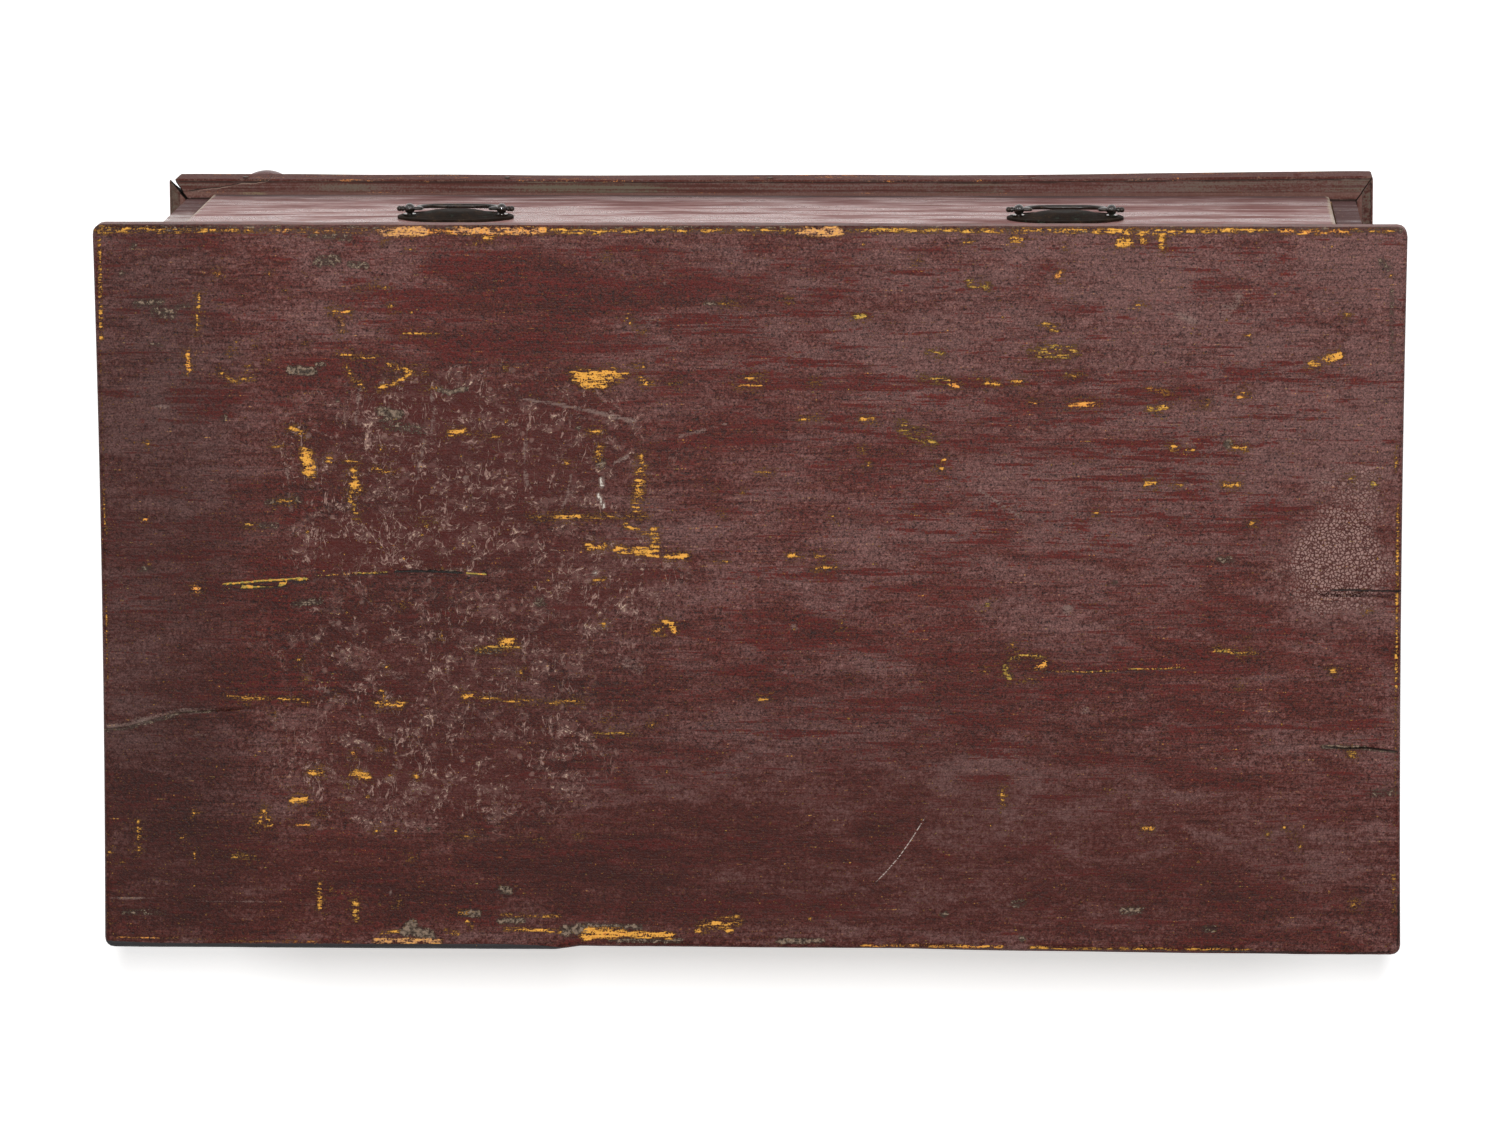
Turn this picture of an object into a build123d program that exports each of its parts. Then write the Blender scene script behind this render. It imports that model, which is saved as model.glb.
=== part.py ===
# One-drawer chest: overhanging two-board top, mitred base moulding, turned feet and two bail handles
import math
import os

from build123d import *

os.makedirs("parts", exist_ok=True)

# The chest stands on z = 0 with its front towards -Y; left and right are as seen from the front.

# Driving sizes, in millimetres
top_width = 1080.0
top_depth = 608.0
top_thickness = 25.0
foot_height = 57.0
moulding_height = 48.0
face_height = 375.0
front_overhang = 25.0
side_overhang = 30.0
rear_overhang = 15.0

# Fits and clearances
rubbing_gap = 0.3
hinge_clearance = 0.05
fastener_clearance = 0.05
drawer_side_gap = 1.5
drawer_top_gap = 1.5
drawer_front_lift = 0.7
overrun = 1.0

# Top boards
top_corner_radius = 8.0
top_upper_round = 4.0
top_lower_round = 2.5
dowel_radius = 5.0
dowel_length = 50.0
dowel_end_margin = 140.0
dowel_count = 5

# Case boards
side_thickness = 21.0
back_thickness = 15.0
back_rabbet = 9.0
back_lap = 8.0
back_board_count = 3
bottom_thickness = 16.0
bottom_housing = 6.0
rail_depth = 60.0
rear_rail_depth = 40.0
top_rail_height = 25.0
bottom_rail_height = 26.0
rail_tongue = 8.0
rail_tongue_setback = 10.0
kicker_width = 25.0
runner_width = 30.0

# Base moulding, as projection from the case and height above the moulding's lower edge
moulding_projection = 18.0
moulding_face_height = 37.0
moulding_quirk = 1.6
moulding_ledge = 6.5
moulding_lip = 1.2

# Feet and their blocks
foot_pad_radius = 17.0
foot_belly_radius = 29.0
foot_neck_radius = 15.0
foot_collar_radius = 21.0
foot_collar_height = 7.0
foot_tenon_radius = 9.0
foot_inset_side = 61.0
foot_inset_front = 12.5
foot_inset_rear = 40.0
foot_belly_share = 0.48
foot_neck_share = 0.8
foot_block_size = 80.0

# Glue blocks and drawer stops
glue_block_leg = 20.0
glue_block_length = 60.0
glue_block_pitch = 240.0
stop_width = 40.0
stop_depth = 30.0
stop_height = 8.0
stop_spread = 600.0

# Drawer
drawer_proud = 4.5
drawer_front_thickness = 22.0
drawer_front_round = 3.5
drawer_lap = 7.0
drawer_side_thickness = 14.0
drawer_back_thickness = 13.0
drawer_back_drop = 8.0
drawer_side_drop = 2.0
drawer_rear_gap = 20.0
drawer_bottom_thickness = 9.0
drawer_bottom_raise = 12.0
drawer_groove = 6.0
drawer_bottom_play = 0.5
tail_count = 6
tail_root_share = 0.52
tail_slope_angle = 9.0

# Handles
handle_spread = 518.0
plate_width = 99.0
plate_height = 70.0
plate_thickness = 1.5
plate_rim_width = 3.0
plate_rim_rise = 1.1
plate_field_inset = 8.5
plate_field_rise = 0.6
post_spacing = 78.5
ball_radius = 4.5
ball_stand = 8.0
post_neck_radius = 2.4
post_collar_radius = 5.4
post_collar_height = 1.6
post_thread_radius = 2.2
post_thread_end = 2.0
nut_size = 10.0
nut_thickness = 3.5
bail_radius = 2.0
bail_pin_radius = 1.5
bail_shoulder_gap = 0.3
bail_collar_radius = 1.9
bail_collar_length = 2.6
bail_button_radius = 2.4
bail_drop = 47.0
bail_neck_in = 12.5
bail_hip_out = 4.0
bail_hip_drop = 29.0
bail_grip_half = 20.0
bail_neck_bend = 5.0
bail_hip_bend = 14.0
bail_grip_bend = 22.0

# Fasteners
nail_radius = 1.2
nail_head_radius = 2.6
nail_head_thickness = 1.0
moulding_nail_length = 30.0
moulding_nail_height = 30.0
front_nail_margin = 50.0
side_nail_margin = 104.0
back_nail_length = 38.0
back_nail_shares = (0.3, 0.75)
drawer_nail_length = 28.0
drawer_nail_margin = 87.5
screw_radius = 2.5
screw_head_radius = 4.5
screw_head_height = 3.0
screw_sink = 6.0
screw_bite = 16.0
screw_slot = 1.0
side_screw_margin = 134.0
rail_screw_margin = 180.0

# Levels, from the floor up
base_z = foot_height
ledge_z = base_z + moulding_height
case_top_z = ledge_z + face_height
overall_z = case_top_z + top_thickness
rail_low_z = ledge_z - bottom_rail_height
board_high_z = rail_low_z + bottom_thickness
rail_high_z = case_top_z - top_rail_height
drawer_low_z = ledge_z + rubbing_gap
front_low_z = drawer_low_z + drawer_front_lift
front_high_z = rail_high_z - drawer_top_gap
side_high_z = rail_high_z - drawer_side_drop
bottom_low_z = drawer_low_z + drawer_bottom_raise
bottom_high_z = bottom_low_z + drawer_bottom_thickness
drawer_back_high_z = side_high_z - drawer_back_drop
handle_z = (front_low_z + front_high_z) / 2

# Places across the width
case_half = top_width / 2 - side_overhang
inner_half = case_half - side_thickness
rabbet_half = inner_half + back_rabbet
housing_half = inner_half + bottom_housing
tongue_half = inner_half + rail_tongue
drawer_half = inner_half - drawer_side_gap
drawer_inner_half = drawer_half - drawer_side_thickness
groove_half = drawer_inner_half + drawer_groove
foot_x = case_half - foot_inset_side

# Places from front to back
top_front_y = -top_depth / 2
top_rear_y = top_depth / 2
case_front_y = top_front_y + front_overhang
case_rear_y = top_rear_y - rear_overhang
inner_rear_y = case_rear_y - back_thickness
rail_rear_y = case_front_y + rail_depth
rear_rail_y = inner_rear_y - rear_rail_depth
moulding_front_y = case_front_y - moulding_projection
drawer_front_y = case_front_y - drawer_proud
front_back_y = drawer_front_y + drawer_front_thickness
drawer_rear_y = inner_rear_y - drawer_rear_gap
drawer_back_y = drawer_rear_y - drawer_back_thickness
board_joint_y = (rail_rear_y + inner_rear_y) / 2
foot_front_y = case_front_y + foot_inset_front
foot_rear_y = case_rear_y - foot_inset_rear
ball_y = drawer_front_y - ball_stand


def board(x, y, z, mode=Mode.ADD):
    """A square-edged board between the given low and high sizes on each axis."""
    with BuildSketch(Plane.XY.offset(z[0])) as outline:
        with Locations(((x[0] + x[1]) / 2, (y[0] + y[1]) / 2)):
            Rectangle(x[1] - x[0], y[1] - y[0])
    extrude(outline.sketch, amount=z[1] - z[0], mode=mode)


def rod(start, direction, radius, length, mode=Mode.ADD):
    """A round rod or hole that starts at a point and runs along a direction."""
    with BuildSketch(Plane(origin=start, z_dir=direction)) as circle:
        Circle(radius)
    extrude(circle.sketch, amount=length, mode=mode)


def nail(start, direction, length, mode=Mode.ADD, gap=0):
    """A flat-headed nail, or with a gap and a cut, the hole that it fills."""
    rod(start, direction, nail_radius + gap, length, mode)
    rod(start, direction, nail_head_radius + gap, nail_head_thickness, mode)


def save(piece, label):
    """Names a finished piece and writes it to its own file."""
    piece.part.label = label
    export_step(piece.part, f"parts/{label}.step")


def spread(pitch, count):
    """Places at an even pitch, centred on zero."""
    return [pitch * (index - (count - 1) / 2) for index in range(count)]


def along(half_length, margin, count):
    """Places spread evenly over a length that is centred on zero, with a margin at each end."""
    return spread(2 * (half_length - margin) / (count - 1), count)


# Fastener places
side_words = {-1: "left", 1: "right"}
dowel_z = overall_z - top_thickness / 2
dowel_xs = along(top_width / 2, dowel_end_margin, dowel_count)
kicker_x = inner_half - kicker_width / 2
side_screw_ys = along(top_depth / 2, side_screw_margin, 3)
rail_screw_xs = along(case_half, rail_screw_margin, 3)
screw_sites = [(side * kicker_x, y) for side in side_words for y in side_screw_ys]
screw_sites += [(x, case_front_y + rail_depth / 2) for x in rail_screw_xs]
screw_sites += [(x, inner_rear_y - rear_rail_depth / 2) for x in rail_screw_xs]
moulding_nail_z = base_z + moulding_nail_height
back_height = (case_top_z - base_z) / back_board_count
back_nail_x = inner_half + back_rabbet / 2
back_nail_zs = [
    base_z + back_height * (row + share) for row in range(back_board_count) for share in back_nail_shares
]
drawer_nail_xs = along(drawer_half, drawer_nail_margin, 5)
drawer_nail_y = (drawer_back_y + drawer_rear_y) / 2


def cut_dowel_holes():
    """Sockets for the dowels between the two top boards."""
    for x in dowel_xs:
        start = (x, -dowel_length / 2 - overrun, dowel_z)
        rod(start, (0, 1, 0), dowel_radius + fastener_clearance, dowel_length + 2 * overrun, Mode.SUBTRACT)


def cut_screw_holes():
    """Shank and head holes for the screws that hold the top from below."""
    for x, y in screw_sites:
        head = (x, y, rail_high_z - overrun)
        head_depth = overrun + screw_sink + fastener_clearance
        shank = (x, y, rail_high_z)
        shank_length = top_rail_height + screw_bite + fastener_clearance
        rod(head, (0, 0, 1), screw_head_radius + fastener_clearance, head_depth, Mode.SUBTRACT)
        rod(shank, (0, 0, 1), screw_radius + fastener_clearance, shank_length, Mode.SUBTRACT)


def moulding_nails(mode=Mode.ADD, gap=0):
    """Nails through the flat of the base moulding into the rail and the side boards."""
    for x in along(case_half, front_nail_margin, 5):
        nail((x, moulding_front_y, moulding_nail_z), (0, 1, 0), moulding_nail_length + gap, mode, gap)
    for side in side_words:
        for y in along(top_depth / 2, side_nail_margin, 3):
            start = (side * (case_half + moulding_projection), y, moulding_nail_z)
            nail(start, (-side, 0, 0), moulding_nail_length + gap, mode, gap)


def back_nails(mode=Mode.ADD, gap=0):
    """Nails through the back boards into the rabbets of the side boards."""
    for side in side_words:
        for z in back_nail_zs:
            nail((side * back_nail_x, case_rear_y, z), (0, -1, 0), back_nail_length + gap, mode, gap)


def drawer_nails(mode=Mode.ADD, gap=0):
    """Nails up through the drawer bottom into the drawer back."""
    for x in drawer_nail_xs:
        nail((x, drawer_nail_y, bottom_low_z), (0, 0, 1), drawer_nail_length + gap, mode, gap)


# Top: one rounded panel, parted along the middle into its two boards
for board_name, kept_half in (("top_board_front", Keep.BOTTOM), ("top_board_rear", Keep.TOP)):
    with BuildPart() as top_board:
        with BuildSketch(Plane.XY.offset(case_top_z)):
            RectangleRounded(top_width, top_depth, top_corner_radius)
        extrude(amount=top_thickness)
        fillet(top_board.faces().sort_by(Axis.Z)[-1].edges(), top_upper_round)
        fillet(top_board.faces().sort_by(Axis.Z)[0].edges(), top_lower_round)
        split(bisect_by=Plane(origin=(0, 0, 0), z_dir=(0, 1, 0)), keep=kept_half)
        cut_dowel_holes()
        cut_screw_holes()
    save(top_board, board_name)

with BuildPart() as top_dowels:
    for x in dowel_xs:
        rod((x, -dowel_length / 2, dowel_z), (0, 1, 0), dowel_radius, dowel_length)
save(top_dowels, "top_dowels")


# Rails across the case, with short tongues that are housed in the side boards
front_rail_y = (case_front_y, rail_rear_y)
rear_rail_ys = (rear_rail_y, inner_rear_y)
top_rail_z = (rail_high_z, case_top_z)
bottom_rail_z = (rail_low_z, ledge_z)


def rail_tongue_span(y):
    """The tongue stops short of the rail's two long edges."""
    return (y[0] + rail_tongue_setback, y[1] - rail_tongue_setback)


rails = {
    "top_rail_front": (front_rail_y, top_rail_z),
    "top_rail_rear": (rear_rail_ys, top_rail_z),
    "bottom_rail_front": (front_rail_y, bottom_rail_z),
}

for rail_name, (rail_y, rail_z) in rails.items():
    with BuildPart() as rail:
        board((-inner_half, inner_half), rail_y, rail_z)
        board((-tongue_half, tongue_half), rail_tongue_span(rail_y), rail_z)
        if rail_z == top_rail_z:
            cut_screw_holes()
        else:
            moulding_nails(Mode.SUBTRACT, fastener_clearance)
    save(rail, rail_name)

# Sides: housed for the rails and the bottom, rabbeted for the back
for side, word in side_words.items():
    with BuildPart() as side_board:
        side_x = sorted((side * inner_half, side * case_half))
        board(side_x, (case_front_y, case_rear_y), (base_z, case_top_z))
        for rail_y, rail_z in rails.values():
            tongue_x = sorted((side * (inner_half - overrun), side * tongue_half))
            board(tongue_x, rail_tongue_span(rail_y), rail_z, Mode.SUBTRACT)
        housing_x = sorted((side * (inner_half - overrun), side * housing_half))
        board(housing_x, (rail_rear_y, inner_rear_y), (rail_low_z, board_high_z), Mode.SUBTRACT)
        rabbet_x = sorted((side * (inner_half - overrun), side * rabbet_half))
        rabbet_z = (base_z - overrun, case_top_z + overrun)
        board(rabbet_x, (inner_rear_y, case_rear_y + overrun), rabbet_z, Mode.SUBTRACT)
        moulding_nails(Mode.SUBTRACT, fastener_clearance)
        back_nails(Mode.SUBTRACT, fastener_clearance)
    save(side_board, f"side_board_{word}")

# Back: three boards, each lapped over the one below
lap_y_middle = (inner_rear_y + case_rear_y) / 2
for row, row_name in enumerate(("lower", "middle", "upper")):
    low_z = base_z + back_height * row
    high_z = low_z + back_height
    with BuildPart() as back_board:
        board((-rabbet_half, rabbet_half), (inner_rear_y, case_rear_y), (low_z, high_z))
        if row > 0:
            lap_x = (-rabbet_half - overrun, rabbet_half + overrun)
            lap_y = (inner_rear_y - overrun, lap_y_middle)
            board(lap_x, lap_y, (low_z - overrun, low_z + back_lap), Mode.SUBTRACT)
        if row < back_board_count - 1:
            board((-rabbet_half, rabbet_half), (inner_rear_y, lap_y_middle), (high_z, high_z + back_lap))
        back_nails(Mode.SUBTRACT, fastener_clearance)
    save(back_board, f"back_board_{row_name}")

# Case bottom, and the strips that the drawer slides on and is kept level by
bottom_spans = {
    "bottom_board_front": (rail_rear_y, board_joint_y),
    "bottom_board_rear": (board_joint_y, inner_rear_y),
}
for board_name, span_y in bottom_spans.items():
    with BuildPart() as bottom_board:
        board((-housing_half, housing_half), span_y, (rail_low_z, board_high_z))
    save(bottom_board, board_name)

for side, word in side_words.items():
    with BuildPart() as runner:
        runner_x = sorted((side * (inner_half - runner_width), side * inner_half))
        board(runner_x, (rail_rear_y, inner_rear_y), (board_high_z, ledge_z))
    save(runner, f"runner_{word}")

    with BuildPart() as kicker:
        kicker_span_x = sorted((side * (inner_half - kicker_width), side * inner_half))
        board(kicker_span_x, (rail_rear_y, rear_rail_y), top_rail_z)
        cut_screw_holes()
    save(kicker, f"kicker_{word}")

with BuildPart() as drawer_stops:
    for x in spread(stop_spread, 2):
        stop_x = (x - stop_width / 2, x + stop_width / 2)
        stop_y = (front_back_y + rubbing_gap, front_back_y + rubbing_gap + stop_depth)
        board(stop_x, stop_y, (ledge_z, ledge_z + stop_height))
save(drawer_stops, "drawer_stops")


# Base moulding: a flat face with a quirk and an ogee above it, below a narrow ledge
def moulding_profile(plane):
    """The moulding's section; the plane's x runs outwards from the case and its y runs up."""
    ogee_middle = (moulding_face_height + moulding_height - moulding_lip) / 2
    ogee_foot = moulding_projection - moulding_quirk
    with BuildSketch(plane) as section:
        with BuildLine():
            Polyline(
                (0, moulding_height),
                (0, 0),
                (moulding_projection, 0),
                (moulding_projection, moulding_face_height),
                (ogee_foot, moulding_face_height),
            )
            Bezier(
                (ogee_foot, moulding_face_height),
                (ogee_foot, ogee_middle),
                (moulding_ledge, ogee_middle),
                (moulding_ledge, moulding_height - moulding_lip),
            )
            Polyline(
                (moulding_ledge, moulding_height - moulding_lip),
                (moulding_ledge, moulding_height),
                (0, moulding_height),
            )
        make_face()
    return section.sketch


def mitre(side):
    """The upright mitre plane through a front corner, with its normal towards the side run."""
    return Plane(origin=(side * case_half, case_front_y, 0), z_dir=(side, 1, 0))


moulding_reach = case_half + moulding_projection
with BuildPart() as front_moulding:
    run_start = Plane(origin=(moulding_reach, case_front_y, base_z), x_dir=(0, -1, 0), z_dir=(-1, 0, 0))
    extrude(moulding_profile(run_start), amount=2 * moulding_reach)
    for side in side_words:
        split(bisect_by=mitre(side), keep=Keep.BOTTOM)
    moulding_nails(Mode.SUBTRACT, fastener_clearance)
save(front_moulding, "base_moulding_front")

for side, word in side_words.items():
    with BuildPart() as side_moulding:
        rear_end = (side * case_half, case_rear_y, base_z)
        run_start = Plane(origin=rear_end, x_dir=(side, 0, 0), z_dir=(0, -side, 0))
        run_length = case_rear_y - moulding_front_y
        extrude(moulding_profile(run_start), amount=side * run_length)
        split(bisect_by=mitre(side), keep=Keep.TOP)
        moulding_nails(Mode.SUBTRACT, fastener_clearance)
    save(side_moulding, f"base_moulding_{word}")

# Feet: turned, with a tenon through the block above
belly_z = base_z * foot_belly_share
neck_z = base_z * foot_neck_share
collar_z = base_z - foot_collar_height
belly_point = (foot_belly_radius, belly_z)
foot_places = {"front": foot_front_y, "rear": foot_rear_y}
for side, word in side_words.items():
    for end, foot_y in foot_places.items():
        with BuildPart() as foot:
            with BuildSketch(Plane(origin=(side * foot_x, foot_y, 0), z_dir=(0, -1, 0), x_dir=(1, 0, 0))):
                with BuildLine():
                    Polyline((0, rail_low_z), (0, 0), (foot_pad_radius, 0))
                    Spline((foot_pad_radius, 0), belly_point, tangents=((1, 1 / 3), (0, 1)))
                    Spline(belly_point, (foot_neck_radius, neck_z), tangents=((0, 1), (-1, 1)))
                    Polyline(
                        (foot_neck_radius, neck_z),
                        (foot_collar_radius, collar_z),
                        (foot_collar_radius, base_z),
                        (foot_tenon_radius, base_z),
                        (foot_tenon_radius, rail_low_z),
                        (0, rail_low_z),
                    )
                make_face()
            revolve(axis=Axis((side * foot_x, foot_y, 0), (0, 0, 1)))
        save(foot, f"foot_{end}_{word}")

        with BuildPart() as foot_block:
            block_y = (case_front_y, case_front_y + foot_block_size)
            if end == "rear":
                block_y = (inner_rear_y - foot_block_size, inner_rear_y)
            block_x = sorted((side * (inner_half - foot_block_size), side * inner_half))
            board(block_x, block_y, (base_z, rail_low_z))
            tenon_start = (side * foot_x, foot_y, base_z - overrun)
            tenon_length = rail_low_z - base_z + 2 * overrun
            rod(tenon_start, (0, 0, 1), foot_tenon_radius + fastener_clearance, tenon_length, Mode.SUBTRACT)
        save(foot_block, f"foot_block_{end}_{word}")

# Glue blocks in the corners under the case bottom
with BuildPart() as glue_blocks:
    for x in spread(glue_block_pitch, 3):
        for corner_y, inward in ((case_front_y, 1), (inner_rear_y, -1)):
            block_plane = Plane(
                origin=(x - inward * glue_block_length / 2, corner_y, rail_low_z),
                x_dir=(0, inward, 0),
                z_dir=(inward, 0, 0),
            )
            with BuildSketch(block_plane):
                with BuildLine():
                    Polyline((0, 0), (glue_block_leg, 0), (0, -glue_block_leg), (0, 0))
                make_face()
            extrude(amount=glue_block_length)
    for side in side_words:
        for y in spread(glue_block_pitch, 2):
            block_plane = Plane(
                origin=(side * inner_half, y - side * glue_block_length / 2, rail_low_z),
                x_dir=(-side, 0, 0),
                z_dir=(0, side, 0),
            )
            with BuildSketch(block_plane):
                with BuildLine():
                    Polyline((0, 0), (glue_block_leg, 0), (0, -glue_block_leg), (0, 0))
                make_face()
            extrude(amount=glue_block_length)
save(glue_blocks, "glue_blocks")


# Drawer joints: tails on the sides, with their sockets in the front and through the back
front_tail_length = drawer_front_thickness - drawer_lap


def tails(side, root_y, reach, low_z, high_z, mode=Mode.ADD, past=0):
    """A row of dovetails that grow wider from root_y along Y by reach, over the side's thickness."""
    pitch = (high_z - low_z) / tail_count
    root_half = pitch * tail_root_share / 2
    tip_half = root_half + abs(reach) * math.tan(math.radians(tail_slope_angle))
    start_x = side * drawer_inner_half
    with BuildSketch(Plane(origin=(start_x, root_y, low_z), x_dir=(0, 1, 0), z_dir=(1, 0, 0))) as outline:
        for index in range(tail_count):
            middle = pitch * (index + 1 / 2)
            with BuildLine():
                Polyline(
                    (0, middle - root_half),
                    (reach, middle - tip_half),
                    (reach, middle + tip_half),
                    (0, middle + root_half),
                    (0, middle - root_half),
                )
            make_face()
    extrude(outline.sketch, amount=side * (drawer_side_thickness + past), mode=mode)


for side, word in side_words.items():
    with BuildPart() as drawer_side:
        side_x = sorted((side * drawer_inner_half, side * drawer_half))
        board(side_x, (front_back_y, drawer_rear_y), (drawer_low_z, side_high_z))
        back_socket_z = (bottom_high_z, drawer_back_high_z)
        socket_x = sorted((side * (drawer_inner_half - overrun), side * (drawer_half + overrun)))
        board(socket_x, (drawer_back_y, drawer_rear_y + overrun), back_socket_z, Mode.SUBTRACT)
        tails(side, drawer_back_y, drawer_back_thickness, bottom_high_z, drawer_back_high_z)
        tails(side, front_back_y, -front_tail_length, front_low_z, side_high_z)
        groove_x = sorted((side * (drawer_inner_half - overrun), side * groove_half))
        groove_y = (front_back_y - drawer_groove, drawer_rear_y + overrun)
        board(groove_x, groove_y, (bottom_low_z, bottom_high_z), Mode.SUBTRACT)
    save(drawer_side, f"drawer_side_{word}")

post_xs = {}
for side, word in side_words.items():
    post_xs[f"{word}_a"] = side * handle_spread / 2 - post_spacing / 2
    post_xs[f"{word}_b"] = side * handle_spread / 2 + post_spacing / 2

with BuildPart() as drawer_front:
    board((-drawer_half, drawer_half), (drawer_front_y, front_back_y), (front_low_z, front_high_z))
    fillet(drawer_front.faces().sort_by(Axis.Y)[0].edges(), drawer_front_round)
    for side in side_words:
        tails(side, front_back_y, -front_tail_length, front_low_z, side_high_z, Mode.SUBTRACT, overrun)
    groove_y = (front_back_y - drawer_groove, front_back_y + overrun)
    board((-groove_half, groove_half), groove_y, (bottom_low_z, bottom_high_z), Mode.SUBTRACT)
    for x in post_xs.values():
        hole_start = (x, drawer_front_y - overrun, handle_z)
        hole_length = drawer_front_thickness + 2 * overrun
        rod(hole_start, (0, 1, 0), post_thread_radius + fastener_clearance, hole_length, Mode.SUBTRACT)
save(drawer_front, "drawer_front")

with BuildPart() as drawer_back:
    board((-drawer_half, drawer_half), (drawer_back_y, drawer_rear_y), (bottom_high_z, drawer_back_high_z))
    for side in side_words:
        back_tails = (drawer_back_y, drawer_back_thickness, bottom_high_z, drawer_back_high_z)
        tails(side, *back_tails, Mode.SUBTRACT, overrun)
    drawer_nails(Mode.SUBTRACT, fastener_clearance)
save(drawer_back, "drawer_back")

drawer_joint_y = (front_back_y + drawer_rear_y) / 2
panel_front_y = front_back_y - drawer_groove + drawer_bottom_play
panel_half = groove_half - drawer_bottom_play
panel_spans = {
    "drawer_bottom_front": (panel_front_y, drawer_joint_y),
    "drawer_bottom_rear": (drawer_joint_y, drawer_rear_y),
}
for panel_name, span_y in panel_spans.items():
    with BuildPart() as drawer_bottom:
        board((-panel_half, panel_half), span_y, (bottom_low_z, bottom_high_z))
        drawer_nails(Mode.SUBTRACT, fastener_clearance)
    save(drawer_bottom, panel_name)


# Handles: an oval plate with a raised rim and field, two ball-headed posts and their nuts
def oval_band(plane, inset, rise, hollow_inset=None):
    """Adds an oval of the plate's outline, inset all round, or the ring between two insets."""
    with BuildSketch(plane) as oval:
        Ellipse(plate_width / 2 - inset, plate_height / 2 - inset)
        if hollow_inset is not None:
            hollow_width = plate_width / 2 - hollow_inset
            Ellipse(hollow_width, plate_height / 2 - hollow_inset, mode=Mode.SUBTRACT)
    extrude(oval.sketch, amount=rise)


def post(x):
    """A post whose thread passes through plate and drawer front, with a cross hole in its ball."""
    neck_top = ball_stand - math.sqrt(ball_radius**2 - post_neck_radius**2)
    thread_low = -(drawer_front_thickness + nut_thickness + post_thread_end)
    ball_end = (0, ball_stand + ball_radius)
    section_plane = Plane(origin=(x, drawer_front_y, handle_z), x_dir=(0, 0, 1), z_dir=(1, 0, 0))
    with BuildSketch(section_plane) as section:
        with BuildLine():
            Polyline(
                ball_end,
                (0, thread_low),
                (post_thread_radius, thread_low),
                (post_thread_radius, plate_thickness + plate_field_rise),
                (post_collar_radius, plate_thickness + plate_field_rise),
                (post_collar_radius, plate_thickness + plate_field_rise + post_collar_height),
                (post_neck_radius, plate_thickness + plate_field_rise + post_collar_height),
                (post_neck_radius, neck_top),
            )
            ThreePointArc((post_neck_radius, neck_top), (ball_radius, ball_stand), ball_end)
        make_face()
    revolve(section.sketch, axis=Axis((x, drawer_front_y, handle_z), (0, -1, 0)))
    cross_start = (x - ball_radius - overrun, ball_y, handle_z)
    cross_length = 2 * (ball_radius + overrun)
    rod(cross_start, (1, 0, 0), bail_pin_radius + hinge_clearance, cross_length, Mode.SUBTRACT)


for side, word in side_words.items():
    with BuildPart() as plate:
        plate_plane = Plane(
            origin=(side * handle_spread / 2, drawer_front_y, handle_z), x_dir=(1, 0, 0), z_dir=(0, -1, 0)
        )
        oval_band(plate_plane, 0, plate_thickness)
        oval_band(plate_plane, 0, plate_thickness + plate_rim_rise, plate_rim_width)
        oval_band(plate_plane, plate_field_inset, plate_thickness + plate_field_rise)
        for x in spread(post_spacing, 2):
            hole_start = (side * handle_spread / 2 + x, drawer_front_y + overrun, handle_z)
            hole_length = overrun + plate_thickness + plate_field_rise + overrun
            rod(hole_start, (0, -1, 0), post_thread_radius + fastener_clearance, hole_length, Mode.SUBTRACT)
    save(plate, f"handle_plate_{word}")

for post_name, x in post_xs.items():
    with BuildPart() as handle_post:
        post(x)
    save(handle_post, f"handle_post_{post_name}")

with BuildPart() as handle_nuts:
    for x in post_xs.values():
        nut_x = (x - nut_size / 2, x + nut_size / 2)
        nut_z = (handle_z - nut_size / 2, handle_z + nut_size / 2)
        board(nut_x, (front_back_y, front_back_y + nut_thickness), nut_z)
        hole_start = (x, front_back_y - overrun, handle_z)
        hole_length = nut_thickness + 2 * overrun
        rod(hole_start, (0, 1, 0), post_thread_radius + fastener_clearance, hole_length, Mode.SUBTRACT)
save(handle_nuts, "handle_nuts")

# Bails: a swan-necked wire between the posts, with pins through the balls and buttons outside
shoulder = ball_radius + bail_shoulder_gap
pin_half = post_spacing / 2
half_bends = [bail_neck_bend, bail_hip_bend, bail_grip_bend]
for side, word in side_words.items():
    bail_plane = Plane(origin=(side * handle_spread / 2, ball_y, handle_z), x_dir=(1, 0, 0), z_dir=(0, -1, 0))
    start_x = pin_half - shoulder
    neck_x = pin_half - bail_neck_in
    hip_x = pin_half - bail_hip_out
    with BuildPart() as bail:
        with BuildLine(bail_plane) as wire:
            FilletPolyline(
                (-start_x, 0),
                (-neck_x, 0),
                (-hip_x, -bail_hip_drop),
                (-bail_grip_half, -bail_drop),
                (bail_grip_half, -bail_drop),
                (hip_x, -bail_hip_drop),
                (neck_x, 0),
                (start_x, 0),
                radius=half_bends + half_bends[::-1],
            )
        with BuildSketch(Plane(origin=wire.line @ 0, z_dir=wire.line % 0)):
            Circle(bail_radius)
        sweep(path=wire.line)
        for end in side_words:
            pin_start = (side * handle_spread / 2 + end * start_x, ball_y, handle_z)
            collar_start = (side * handle_spread / 2 + end * (pin_half + shoulder), ball_y, handle_z)
            button_x = collar_start[0] + end * (bail_collar_length + bail_button_radius / 2)
            rod(pin_start, (end, 0, 0), bail_pin_radius, 2 * shoulder)
            rod(collar_start, (end, 0, 0), bail_collar_radius, bail_collar_length)
            with Locations((button_x, ball_y, handle_z)):
                Sphere(bail_button_radius)
    save(bail, f"handle_bail_{word}")

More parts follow.
